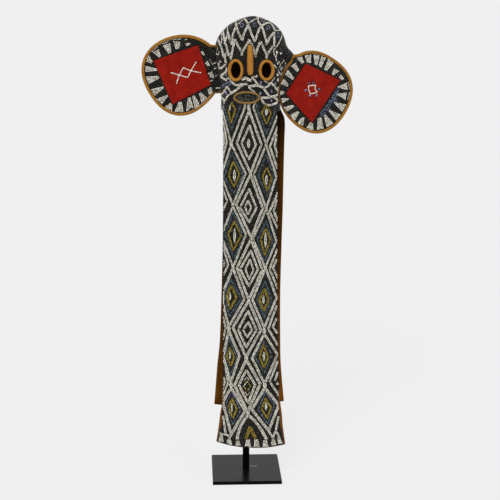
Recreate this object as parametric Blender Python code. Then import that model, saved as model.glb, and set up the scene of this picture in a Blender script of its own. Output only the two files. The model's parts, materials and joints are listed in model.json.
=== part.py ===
"""A beaded cloth elephant mask with a long trunk panel and two round ears, on its display stand.

Units are metres and +Z is up. The mask faces -Y. The origin is the centre of the base plate's underside.
Left and right are the viewer's, so left is -X.
"""

import math

import bmesh
import bpy
from mathutils import Vector

# Clearance kept between pieces that touch
GAP = 0.0003

# Stand
PLATE_WIDTH = 0.230
PLATE_DEPTH = 0.235
PLATE_THICKNESS = 0.012
PLATE_EDGE = 0.0008
POST_SIDE = 0.022
POST_EDGE = 0.0012
CROWN_PAD_RADIUS = 0.052
CROWN_PAD_FLOOR = 1.484

# Hood: a sewn cloth shell, open below, closed by a dome above the brow
HOOD_WALL = 0.005
HOOD_FLOOR = 1.235
BROW_Z = 1.4345
CROWN_Z = 1.5255
CROWN_SHIFT = 0.007
DOME_RISE_POWER = 1.9
DOME_WIDTH_POWER = 0.58
HOOD_SIDES = 40
# Height, centre along X, half width, reach to the front, reach to the back, squareness of the section
HOOD_LEVELS = (
    (1.235, 0.0085, 0.0940, 0.108, 0.100, 3.4),
    (1.260, 0.0095, 0.0938, 0.110, 0.102, 3.4),
    (1.300, 0.0092, 0.0970, 0.112, 0.105, 3.2),
    (1.360, 0.0085, 0.1045, 0.111, 0.107, 2.9),
    (1.400, 0.0083, 0.1082, 0.108, 0.106, 2.7),
    (BROW_Z, 0.0085, 0.1095, 0.103, 0.102, 2.5),
)
HOOD_ROWS_BELOW_BROW = 12
HOOD_ROWS_IN_DOME = 7
# Halvings used to find the front surface behind a point of the front view
BISECTIONS = 30
# Where the ears pull the cloth out: direction in plan, height, pull, spread in plan, spread in height
EAR_PULLS = (
    (math.radians(-25), 1.402, 0.033, math.radians(22), 0.0245),
    (math.radians(198), 1.385, 0.007, math.radians(26), 0.0600),
)

# Trunk panel: height, left edge, right edge
PANEL_THICKNESS = 0.006
TRUNK_LEVELS = (
    (0.130, -0.1060, 0.1265),
    (0.200, -0.0955, 0.1165),
    (0.238, -0.0912, 0.1134),
    (0.278, -0.0853, 0.1080),
    (0.340, -0.0825, 0.1030),
    (0.632, -0.0812, 0.0955),
    (0.960, -0.0808, 0.0921),
    (HOOD_FLOOR, -0.0815, 0.0885),
)
TRUNK_HEM_LEFT_Z = 0.148
TRUNK_HEM_MIDDLE_Z = 0.127
TRUNK_HEM_RIGHT_Z = 0.135
TRUNK_HEM_Y = -0.112
# Back panel: height, left edge, right edge
BACK_LEVELS = (
    (0.205, -0.1062, 0.1360),
    (0.347, -0.0955, 0.1230),
    (0.436, -0.0875, 0.1200),
    (0.610, -0.0830, 0.1183),
    (0.920, -0.0800, 0.1243),
    (1.150, -0.0810, 0.1240),
    (HOOD_FLOOR, -0.0790, 0.0975),
)
BACK_HEM_LEFT_Z = 0.2075
BACK_HEM_MIDDLE_Z = 0.204
BACK_HEM_RIGHT_Z = 0.217
BACK_HEM_Y = 0.103
# How fast a panel loses the roundness it takes from the hood, and what roundness it keeps
PANEL_FLATTENING = 0.085
PANEL_KEPT_BOW = 0.007
PANEL_COLUMNS = 12
PANEL_ROWS = 18

# Ears: flat stiffened cloth discs, swept back, each edged by a padded roll
EAR_THICKNESS = 0.007
EAR_ROLL_RADIUS = 0.0048
EAR_SIDES = 48
ROLL_SIDES = 8
PATCH_THICKNESS = 0.0012
# Each ear: centre, turn about Z, outline terms and the corners of its red cloth patch.
# An outline term is the lobe count, its height and the direction of its first lobe.
EARS = {
    "ear_left": {
        "centre": Vector((-0.2082, -0.0350, 1.3465)),
        "turn": math.radians(-6),
        "radius": 0.1261,
        "lobes": ((2, 0.0022, 31), (3, 0.0045, 27), (4, 0.0017, -8)),
        "patch": ((0.0512, 0.0902), (-0.0894, 0.0409), (-0.0304, -0.0951), (0.0911, -0.0327)),
    },
    "ear_right": {
        "centre": Vector((0.2123, -0.0450, 1.2915)),
        "turn": math.radians(18),
        "radius": 0.1275,
        "lobes": ((2, -0.0044, 39), (3, 0.0021, 14), (4, 0.0025, 12)),
        "patch": ((-0.0370, 0.0902), (0.0841, 0.0355), (-0.0122, -0.0963), (-0.1019, -0.0022)),
    },
}

# Face: stuffed ochre cloth rolls sewn on the hood. Centres are (X, Z) seen from the front.
EYES = {
    "eye_ring_left": {"centre": (-0.0420, 1.3632), "half_width": 0.0192, "half_height": 0.0296},
    "eye_ring_right": {"centre": (0.0528, 1.3634), "half_width": 0.0201, "half_height": 0.0281},
}
EYE_ROLL_WIDTH = 0.0100
EYE_ROLL_HEIGHT = 0.0085
MOUTH = {"centre": (-0.0080, 1.2795), "half_width": 0.0385, "half_height": 0.0168}
MOUTH_ROLL_WIDTH = 0.0060
MOUTH_ROLL_HEIGHT = 0.0045
EYE_SEGMENTS = 28
MOUTH_SEGMENTS = 36
NOSE_FOOT = (0.0030, 1.3490)
NOSE_TIP = (0.0012, 1.4405)
NOSE_WIDTH_BELOW = 0.0230
NOSE_WIDTH_ABOVE = 0.0160
NOSE_HEIGHT_BELOW = 0.0190
NOSE_HEIGHT_ABOVE = 0.0110
NOSE_ROWS = 14

# Finishes: colour, roughness, metallic
FINISHES = {
    "blackened_steel": ((0.030, 0.028, 0.026), 0.45, 0.8),
    "black_felt": ((0.020, 0.020, 0.020), 0.95, 0.0),
    "beaded_cloth": ((0.120, 0.125, 0.135), 0.55, 0.0),
    "brown_cloth": ((0.300, 0.140, 0.040), 0.90, 0.0),
    "ochre_cloth": ((0.530, 0.240, 0.040), 0.85, 0.0),
    "red_cloth": ((0.350, 0.020, 0.012), 0.90, 0.0),
}


def clear_scene():
    """Remove the objects that are already in the file."""
    for found in list(bpy.data.objects):
        bpy.data.objects.remove(found, do_unlink=True)


def finish(name):
    """The Principled material of a finish, made on first use."""
    if name in bpy.data.materials:
        return bpy.data.materials[name]
    colour, roughness, metallic = FINISHES[name]
    material = bpy.data.materials.new(name)
    material.use_nodes = True
    shader = material.node_tree.nodes["Principled BSDF"]
    shader.inputs["Base Color"].default_value = (*colour, 1.0)
    shader.inputs["Roughness"].default_value = roughness
    shader.inputs["Metallic"].default_value = metallic
    return material


def add_object(name, mesh_builder, finish_name, smooth_angle=math.radians(40)):
    """Turn a bmesh into a named object with its own finish."""
    bmesh.ops.recalc_face_normals(mesh_builder, faces=mesh_builder.faces)
    mesh = bpy.data.meshes.new(name)
    mesh_builder.to_mesh(mesh)
    mesh_builder.free()
    mesh.shade_smooth()
    mesh.set_sharp_from_angle(angle=smooth_angle)
    mesh.materials.append(finish(finish_name))
    made = bpy.data.objects.new(name, mesh)
    bpy.context.collection.objects.link(made)
    return made


def level_values(levels, z):
    """The values at height z, carried smoothly through a table of levels."""
    heights = [level[0] for level in levels]
    z = min(max(z, heights[0]), heights[-1])
    last = len(levels) - 2
    here = min(max(i for i, height in enumerate(heights) if height <= z), last)
    before, after = max(here - 1, 0), min(here + 2, last + 1)
    low, high = levels[here], levels[here + 1]
    run = high[0] - low[0]
    t = (z - low[0]) / run
    values = []
    for i in range(1, len(low)):
        slope_low = run * (high[i] - levels[before][i]) / (high[0] - levels[before][0])
        slope_high = run * (levels[after][i] - low[i]) / (levels[after][0] - low[0])
        values.append(
            (2 * t**3 - 3 * t**2 + 1) * low[i]
            + (t**3 - 2 * t**2 + t) * slope_low
            + (3 * t**2 - 2 * t**3) * high[i]
            + (t**3 - t**2) * slope_high
        )
    return values


def hood_section(z, inset=0.0):
    """The hood's section at height z: centre, half width, front and back reach, squareness."""
    centre, half, front, back, square = level_values(HOOD_LEVELS, z)
    half, front, back = half - inset, front - inset, back - inset
    if z > BROW_Z:
        rise = min((z - BROW_Z) / (CROWN_Z - inset - BROW_Z), 1.0)
        shrink = (1 - rise**DOME_RISE_POWER) ** DOME_WIDTH_POWER
        half, front, back = half * shrink, front * shrink, back * shrink
        centre += CROWN_SHIFT * rise
    return centre, half, front, back, square


def ear_pull(angle, z):
    """How far the ears pull the hood out at this direction and height."""
    pull = 0.0
    for direction, height, reach, spread, rise in EAR_PULLS:
        turn = (angle - direction + math.pi) % (2 * math.pi) - math.pi
        pull += reach * math.exp(-((turn / spread) ** 2) - ((z - height) / rise) ** 2)
    return pull


def hood_point(angle, z, inset=0.0):
    """A point of the hood's surface. Angle 0 is +X and -90 degrees is the front."""
    centre, half, front, back, square = hood_section(z, inset)
    power = 2 / square
    along = math.copysign(abs(math.cos(angle)) ** power, math.cos(angle))
    across = math.copysign(abs(math.sin(angle)) ** power, math.sin(angle))
    x = half * along
    y = (back if across > 0 else front) * across
    plan_angle = math.atan2(y, x)
    pull = ear_pull(plan_angle, z)
    return Vector((centre + x + pull * math.cos(plan_angle), y + pull * math.sin(plan_angle), z))


def hood_front(x, z, inset=0.0):
    """The hood's front surface straight behind the point (x, z) of the front view."""
    low, high = -math.pi, 0.0
    for _ in range(BISECTIONS):
        angle = (low + high) / 2
        if hood_point(angle, z, inset).x < x:
            low = angle
        else:
            high = angle
    return hood_point(angle, z, inset)


def hood_front_normal(x, z):
    """The outward direction of the hood's front at (x, z)."""
    step = 0.001
    along = hood_front(x + step, z) - hood_front(x - step, z)
    up = hood_front(x, z + step) - hood_front(x, z - step)
    return along.cross(up).normalized()


def bridge(builder, rows, closed_rows):
    """Fill between rows of vertices that each hold the same number of vertices."""
    for low, high in zip(rows, rows[1:]):
        count = len(low)
        for i in range(count if closed_rows else count - 1):
            j = (i + 1) % count
            builder.faces.new((low[i], low[j], high[j], high[i]))


def cap_fan(builder, ring, tip):
    """Close a ring of vertices onto one point."""
    apex = builder.verts.new(tip)
    for i, corner in enumerate(ring):
        builder.faces.new((corner, ring[(i + 1) % len(ring)], apex))


def hood_heights(inset=0.0):
    """The heights of the hood's rows, closer together towards the crown."""
    below = [
        HOOD_FLOOR + (BROW_Z - HOOD_FLOOR) * i / HOOD_ROWS_BELOW_BROW
        for i in range(HOOD_ROWS_BELOW_BROW + 1)
    ]
    dome = CROWN_Z - inset - BROW_Z
    above = [
        BROW_Z + dome * math.sin(0.5 * math.pi * i / (HOOD_ROWS_IN_DOME + 1))
        for i in range(1, HOOD_ROWS_IN_DOME + 1)
    ]
    return below + above


def hood_rows(builder, inset):
    """Rows of vertices over the hood's surface, from its floor up."""
    angles = [2 * math.pi * (i + 0.5) / HOOD_SIDES for i in range(HOOD_SIDES)]
    return [
        [builder.verts.new(hood_point(angle, z, inset)) for angle in angles]
        for z in hood_heights(inset)
    ]


def crown_tip(inset):
    """The topmost point of the hood's surface."""
    return Vector((hood_section(CROWN_Z)[0], 0.0, CROWN_Z - inset))


def hood_block(name, inset):
    """A solid that fills the hood's surface, used only to cut its neighbours."""
    builder = bmesh.new()
    rows = hood_rows(builder, inset)
    bridge(builder, rows, closed_rows=True)
    cap_fan(builder, rows[-1], crown_tip(inset))
    builder.faces.new(rows[0])
    block = add_object(name, builder, "beaded_cloth")
    block.hide_render = True
    block.display_type = "WIRE"
    return block


def eye_cutter(name, eye):
    """An oval rod along Y that cuts an eye hole through the hood's front wall."""
    x, z = eye["centre"]
    wide = eye["half_width"] - EYE_ROLL_WIDTH / 2
    high = eye["half_height"] - EYE_ROLL_WIDTH / 2
    builder = bmesh.new()
    rows = [
        [
            builder.verts.new((x + wide * math.cos(turn), y, z + high * math.sin(turn)))
            for turn in (2 * math.pi * i / EYE_SEGMENTS for i in range(EYE_SEGMENTS))
        ]
        for y in (-0.16, -0.05)
    ]
    bridge(builder, rows, closed_rows=True)
    builder.faces.new(rows[0])
    builder.faces.new(rows[1])
    cutter = add_object(f"{name}_cutter", builder, "beaded_cloth")
    cutter.hide_render = True
    cutter.display_type = "WIRE"
    return cutter


def cut(target, cutter):
    """Take the cutter's shape out of the target."""
    modifier = target.modifiers.new(f"cut_by_{cutter.name}", "BOOLEAN")
    modifier.operation = "DIFFERENCE"
    modifier.solver = "EXACT"
    modifier.object = cutter


def build_hood():
    """The cloth hood: an even shell, open below, with two eye holes."""
    builder = bmesh.new()
    outer = hood_rows(builder, 0.0)
    inner = hood_rows(builder, HOOD_WALL)
    bridge(builder, outer, closed_rows=True)
    bridge(builder, inner, closed_rows=True)
    bridge(builder, [outer[0], inner[0]], closed_rows=True)
    cap_fan(builder, outer[-1], crown_tip(0.0))
    cap_fan(builder, inner[-1], crown_tip(HOOD_WALL))
    hood = add_object("hood", builder, "beaded_cloth")
    for name, eye in EYES.items():
        cut(hood, eye_cutter(name, eye))


def panel_y(x, z, hem_y, side):
    """Where a hanging panel lies along Y. Side is -1 for the front and +1 for the back."""
    centre, half, front, back, square = hood_section(HOOD_FLOOR)
    across = min(abs(x - centre) / half, 1.0)
    reach = front if side < 0 else back
    round_y = side * reach * (1 - across**square) ** (1 / square)
    flat_y = hem_y - side * PANEL_KEPT_BOW * across**2
    keep = math.exp(-(HOOD_FLOOR - z) / PANEL_FLATTENING)
    return keep * round_y + (1 - keep) * flat_y


def hem_z(across, left, middle, right):
    """The height of a hem that sags between its corners; across runs from -1 to 1."""
    corner = left + (right - left) * (across + 1) / 2
    return corner + (middle - (left + right) / 2) * (1 - abs(across) ** 2.5)


def build_panel(name, levels, hems, hem_y, side, finish_name):
    """A cloth panel that hangs from the hood's lower edge."""
    top = HOOD_FLOOR - GAP
    builder = bmesh.new()
    faces = []
    for depth in (0.0, PANEL_THICKNESS):
        rows = []
        for row in range(PANEL_ROWS + 1):
            down = row / PANEL_ROWS
            ring = []
            for column in range(PANEL_COLUMNS + 1):
                across = 2 * column / PANEL_COLUMNS - 1
                z = top + (hem_z(across, *hems) - top) * down
                left, right = level_values(levels, z)
                x = left + (right - left) * (across + 1) / 2
                y = panel_y(x, z, hem_y, side) - side * depth
                ring.append(builder.verts.new((x, y, z)))
            rows.append(ring)
        faces.append(rows)
    outer, inner = faces
    bridge(builder, outer, closed_rows=False)
    bridge(builder, inner, closed_rows=False)
    for edge in (0, -1):
        bridge(builder, [outer[edge], inner[edge]], closed_rows=False)
        bridge(
            builder,
            [[row[edge] for row in outer], [row[edge] for row in inner]],
            closed_rows=False,
        )
    add_object(name, builder, finish_name)


def ear_radius(ear, angle):
    """The ear's outline, in the direction of this angle in its own plane."""
    lobes = sum(
        height * math.cos(count * (angle - math.radians(first)))
        for count, height, first in ear["lobes"]
    )
    return ear["radius"] + lobes


def ear_axes(ear):
    """The ear's directions across and out of its front."""
    turn = ear["turn"]
    return Vector((math.cos(turn), math.sin(turn), 0)), Vector((math.sin(turn), -math.cos(turn), 0))


def ear_place(ear, across, up, out):
    """A point given across, up and out of the middle of the ear."""
    along, front = ear_axes(ear)
    return ear["centre"] + along * across + Vector((0, 0, up)) + front * out


def build_ear_disc(name, ear, hood_cutter):
    """The flat part of an ear, trimmed where it meets the hood."""
    edge_round = EAR_THICKNESS * 0.25
    profile = (
        (edge_round, -EAR_THICKNESS / 2),
        (0.0, -EAR_THICKNESS / 2 + edge_round),
        (0.0, EAR_THICKNESS / 2 - edge_round),
        (edge_round, EAR_THICKNESS / 2),
    )
    builder = bmesh.new()
    rows = []
    for inset, out in profile:
        ring = []
        for i in range(EAR_SIDES):
            angle = 2 * math.pi * i / EAR_SIDES
            reach = ear_radius(ear, angle) - 2 * EAR_ROLL_RADIUS - GAP - inset
            place = ear_place(ear, reach * math.cos(angle), reach * math.sin(angle), out)
            ring.append(builder.verts.new(place))
        rows.append(ring)
    bridge(builder, rows, closed_rows=True)
    builder.faces.new(rows[0])
    builder.faces.new(rows[-1])
    cut(add_object(name, builder, "beaded_cloth"), hood_cutter)


def build_ear_roll(name, ear, hood_cutter):
    """The padded brown roll round the edge of an ear."""
    builder = bmesh.new()
    rows = []
    for i in range(EAR_SIDES):
        angle = 2 * math.pi * i / EAR_SIDES
        reach = ear_radius(ear, angle) - EAR_ROLL_RADIUS
        ring = []
        for side in range(ROLL_SIDES):
            turn = 2 * math.pi * (side + 0.5) / ROLL_SIDES
            bulge = reach + EAR_ROLL_RADIUS * math.cos(turn)
            out = EAR_ROLL_RADIUS * math.sin(turn)
            place = ear_place(ear, bulge * math.cos(angle), bulge * math.sin(angle), out)
            ring.append(builder.verts.new(place))
        rows.append(ring)
    bridge(builder, rows + [rows[0]], closed_rows=True)
    cut(add_object(name, builder, "brown_cloth"), hood_cutter)


def build_patch(name, ear, hood_cutter):
    """The thin red cloth sewn on the front of an ear."""
    builder = bmesh.new()
    rows = []
    for out in (EAR_THICKNESS / 2 + GAP, EAR_THICKNESS / 2 + GAP + PATCH_THICKNESS):
        rows.append([builder.verts.new(ear_place(ear, *corner, out)) for corner in ear["patch"]])
    bridge(builder, rows, closed_rows=True)
    builder.faces.new(rows[0])
    builder.faces.new(rows[1])
    cut(add_object(name, builder, "red_cloth"), hood_cutter)


def roll_profile(width, height, sides=7):
    """A half-round section that stands on its flat side: across and out."""
    return [
        (
            0.5 * width * math.cos(math.pi * i / (sides - 1)),
            height * math.sin(math.pi * i / (sides - 1)) ** 0.8 if 0 < i < sides - 1 else 0.0,
        )
        for i in range(sides)
    ]


def build_face_ring(name, ring, width, height, segments):
    """An oval cloth roll that lies on the hood's front."""
    x, z = ring["centre"]
    profile = roll_profile(width, height)
    builder = bmesh.new()
    rows = []
    for i in range(segments):
        turn = 2 * math.pi * i / segments
        here = (x + ring["half_width"] * math.cos(turn), z + ring["half_height"] * math.sin(turn))
        normal = hood_front_normal(*here)
        base = hood_front(*here) + normal * 2 * GAP
        outward = Vector(
            (ring["half_height"] * math.cos(turn), 0, ring["half_width"] * math.sin(turn))
        )
        outward = (outward - normal * outward.dot(normal)).normalized()
        rows.append(
            [builder.verts.new(base + outward * across + normal * out) for across, out in profile]
        )
    bridge(builder, rows + [rows[0]], closed_rows=True)
    add_object(name, builder, "ochre_cloth")


def build_nose():
    """The long stuffed nose, narrow above and wide below, lying on the hood's front."""
    builder = bmesh.new()
    rows = []
    for row in range(NOSE_ROWS + 1):
        up = row / NOSE_ROWS
        x = NOSE_FOOT[0] + (NOSE_TIP[0] - NOSE_FOOT[0]) * up
        z = NOSE_FOOT[1] + (NOSE_TIP[1] - NOSE_FOOT[1]) * (0.5 - 0.5 * math.cos(math.pi * up))
        rounding = math.sin(math.pi * min(max(up, 0.02), 0.98)) ** 0.35
        width = (NOSE_WIDTH_BELOW + (NOSE_WIDTH_ABOVE - NOSE_WIDTH_BELOW) * up) * rounding
        height = (NOSE_HEIGHT_BELOW + (NOSE_HEIGHT_ABOVE - NOSE_HEIGHT_BELOW) * up) * rounding
        normal = hood_front_normal(x, z)
        base = hood_front(x, z) + normal * 2 * GAP
        along = Vector((1, 0, 0))
        along = (along - normal * along.dot(normal)).normalized()
        profile = roll_profile(width, height, sides=9)
        rows.append(
            [builder.verts.new(base + along * across + normal * out) for across, out in profile]
        )
    bridge(builder, rows, closed_rows=True)
    builder.faces.new(rows[0])
    builder.faces.new(rows[-1])
    add_object("nose", builder, "ochre_cloth")


def build_block(name, size, floor, edge, finish_name):
    """An upright block on the Z axis with slightly eased edges."""
    builder = bmesh.new()
    bmesh.ops.create_cube(builder, size=1.0)
    bmesh.ops.scale(builder, vec=size, verts=builder.verts)
    bmesh.ops.translate(builder, vec=(0, 0, floor + size[2] / 2), verts=builder.verts)
    bmesh.ops.bevel(
        builder, geom=builder.edges[:], offset=edge, segments=2, affect="EDGES", profile=0.5, material=-1
    )
    add_object(name, builder, finish_name)


def build_crown_pad():
    """The domed pad on the post that the hood's crown rests on."""
    inset = HOOD_WALL + 2 * GAP
    dome = CROWN_Z - inset - BROW_Z
    builder = bmesh.new()
    rows = []
    centre = hood_section(CROWN_Z)[0]
    for rise in (0.3, 0.6, 0.85, 1.0):
        reach = CROWN_PAD_RADIUS * rise
        ring = []
        for i in range(HOOD_SIDES // 2):
            turn = 4 * math.pi * i / HOOD_SIDES
            offset = Vector((math.cos(turn), math.sin(turn), 0)) * reach
            spread = (reach / (HOOD_LEVELS[-1][3] - inset)) ** (1 / DOME_WIDTH_POWER)
            z = BROW_Z + dome * (1 - spread) ** (1 / DOME_RISE_POWER) - 2 * GAP
            ring.append(builder.verts.new((centre + offset.x, offset.y, z)))
        rows.append(ring)
    floor = [builder.verts.new((corner.co.x, corner.co.y, CROWN_PAD_FLOOR)) for corner in rows[-1]]
    bridge(builder, rows + [floor], closed_rows=True)
    cap_fan(builder, rows[0], (centre, 0.0, CROWN_Z - inset - 3 * GAP))
    builder.faces.new(floor)
    add_object("crown_pad", builder, "black_felt")


def build_stand():
    """The base plate, the square post and the pad that carries the hood."""
    plate = (PLATE_WIDTH, PLATE_DEPTH, PLATE_THICKNESS)
    build_block("base_plate", plate, 0.0, PLATE_EDGE, "blackened_steel")
    foot = PLATE_THICKNESS + GAP
    post = (POST_SIDE, POST_SIDE, CROWN_PAD_FLOOR - GAP - foot)
    build_block("post", post, foot, POST_EDGE, "blackened_steel")
    build_crown_pad()


def build_panels():
    """The long trunk panel in front and the shorter panel behind."""
    trunk_hems = (TRUNK_HEM_LEFT_Z, TRUNK_HEM_MIDDLE_Z, TRUNK_HEM_RIGHT_Z)
    build_panel("trunk_panel", TRUNK_LEVELS, trunk_hems, TRUNK_HEM_Y, -1, "beaded_cloth")
    back_hems = (BACK_HEM_LEFT_Z, BACK_HEM_MIDDLE_Z, BACK_HEM_RIGHT_Z)
    build_panel("back_panel", BACK_LEVELS, back_hems, BACK_HEM_Y, 1, "brown_cloth")


def build_ears():
    """Both ears with their edge rolls and red patches."""
    cutter = hood_block("hood_clearance", -GAP)
    for name, ear in EARS.items():
        build_ear_disc(name, ear, cutter)
        build_ear_roll(f"{name}_binding", ear, cutter)
        build_patch(f"{name}_patch", ear, cutter)


def build_face():
    """The eye rings, the nose and the mouth ring."""
    for name, eye in EYES.items():
        build_face_ring(name, eye, EYE_ROLL_WIDTH, EYE_ROLL_HEIGHT, EYE_SEGMENTS)
    build_face_ring("mouth_ring", MOUTH, MOUTH_ROLL_WIDTH, MOUTH_ROLL_HEIGHT, MOUTH_SEGMENTS)
    build_nose()


def main():
    clear_scene()
    build_stand()
    build_hood()
    build_panels()
    build_ears()
    build_face()


main()
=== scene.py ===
"""Dresses the beaded elephant mask on its stand: cloth, stuffed rolls, glass beads and steel."""

import json
import logging
import math
import random
from dataclasses import dataclass, field
from enum import Enum
from typing import Callable, Iterable, Sequence

import bmesh
import bpy
import numpy as np
from mathutils import Matrix, Vector, noise
from mathutils.bvhtree import BVHTree

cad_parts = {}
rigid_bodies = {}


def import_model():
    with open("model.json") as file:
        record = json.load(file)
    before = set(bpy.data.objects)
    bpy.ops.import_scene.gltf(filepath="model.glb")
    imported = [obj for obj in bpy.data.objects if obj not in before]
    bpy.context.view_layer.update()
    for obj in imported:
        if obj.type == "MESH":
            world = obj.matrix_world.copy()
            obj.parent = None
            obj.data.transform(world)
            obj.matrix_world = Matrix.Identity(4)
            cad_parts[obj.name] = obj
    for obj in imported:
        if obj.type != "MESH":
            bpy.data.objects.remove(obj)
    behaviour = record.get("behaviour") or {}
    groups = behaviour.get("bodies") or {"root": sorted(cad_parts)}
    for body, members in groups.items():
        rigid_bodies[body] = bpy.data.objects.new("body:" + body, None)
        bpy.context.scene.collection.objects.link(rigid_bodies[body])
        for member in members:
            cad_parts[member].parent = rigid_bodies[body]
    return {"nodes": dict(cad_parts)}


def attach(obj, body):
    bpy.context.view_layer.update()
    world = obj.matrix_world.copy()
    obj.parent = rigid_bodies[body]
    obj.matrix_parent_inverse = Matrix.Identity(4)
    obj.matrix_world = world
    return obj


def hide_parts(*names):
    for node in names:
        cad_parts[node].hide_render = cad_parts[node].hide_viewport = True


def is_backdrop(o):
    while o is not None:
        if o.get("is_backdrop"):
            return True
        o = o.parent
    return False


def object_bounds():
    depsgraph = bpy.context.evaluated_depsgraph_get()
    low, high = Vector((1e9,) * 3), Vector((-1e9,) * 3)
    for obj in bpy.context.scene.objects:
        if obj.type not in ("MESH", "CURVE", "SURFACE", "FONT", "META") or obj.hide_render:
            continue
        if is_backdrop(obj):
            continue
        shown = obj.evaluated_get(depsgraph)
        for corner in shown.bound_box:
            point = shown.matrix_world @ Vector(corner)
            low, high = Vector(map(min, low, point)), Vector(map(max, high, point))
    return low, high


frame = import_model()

CAD_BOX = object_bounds()
BODY = "root"
MM = 0.001
GAP = 0.0003
UP = Vector((0, 0, 1))
ACROSS = Vector((1, 0, 0))
BEAD_LIFT = 0.0014
BEAD_BED = 0.0028
FILL_BEAD = (0.0038, 0.0032)
LINE_BEAD = (0.0042, 0.0031)
BEAD_RUN = 0.0042
BEAD_ROW = 0.0034
LOOSE, SNUG = 0.0031, 0.00275
ROLL_CLEAR = 0.0026
TONES = 16
log = logging.getLogger("mask")

Point = tuple[float, float]
Place = tuple[Vector, Vector]
Colour = tuple[int, int, int]
Net = bmesh.types.BMesh
Piece = bpy.types.Object
Socket = bpy.types.NodeSocket


# ---- materials


def linear(red: float, green: float, blue: float) -> tuple[float, float, float, float]:
    """Turns a colour given in screen values into the renderer's own.

    Args:
        red: red, 0 to 255.
        green: green, 0 to 255.
        blue: blue, 0 to 255.

    Returns:
        The colour as four linear values.
    """
    parts = [((c / 255 + 0.055) / 1.055) ** 2.4 if c > 10 else c / 3294.6 for c in (red, green, blue)]
    return (parts[0], parts[1], parts[2], 1.0)


@dataclass
class Nodes:
    """A short way to lay and join shader nodes in one tree."""

    tree: bpy.types.NodeTree

    def add(self, kind: str, values: dict | None = None, **settings: object) -> bpy.types.Node:
        """Adds a node.

        Args:
            kind: the node type, without its leading ShaderNode.
            values: input values or the sockets to join them to, by name or number.
            settings: the node's own settings.

        Returns:
            The new node.
        """
        node = self.tree.nodes.new(kind if kind.startswith("NodeGroup") else "ShaderNode" + kind)
        for name, value in settings.items():
            setattr(node, name, value)
        for name, value in (values or {}).items():
            if isinstance(value, Socket):
                self.join(value, node.inputs[name])
            else:
                node.inputs[name].default_value = value
        return node

    def math(self, operation: str, *terms: object) -> Socket:
        """Adds a Math node and returns its result."""
        return self.add("Math", dict(enumerate(terms)), operation=operation).outputs[0]

    def mix(self, factor: object, first: object, second: object, blend: str = "MIX") -> Socket:
        """Adds a colour mix and returns its colour."""
        node = self.add("Mix", {0: factor, 6: first, 7: second}, data_type="RGBA", blend_type=blend)
        return node.outputs[2]

    def join(self, source: Socket, target: Socket) -> None:
        """Joins a result to an input."""
        self.tree.links.new(source, target)

    def ramp(self, factor: object, low: float, high: float) -> Socket:
        """Spreads the part of a value between low and high over 0 to 1.

        Args:
            factor: the value.
            low: where the part starts.
            high: where it ends.

        Returns:
            The share, 0 to 1.
        """
        node = self.add("MapRange", {"Value": factor, "From Min": low, "From Max": high})
        node.clamp = True
        return node.outputs[0]

    def profile(self, value: object, steps: Sequence[Point]) -> object:
        """Follows a value along steps of place and result.

        Args:
            value: the value to follow.
            steps: pairs of place and result, upwards.

        Returns:
            The result.
        """
        result = steps[0][1]
        for (start, low), (end, high) in zip(steps, steps[1:]):
            result = self.math("MULTIPLY_ADD", self.ramp(value, start, end), high - low, result)
        return result


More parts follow.
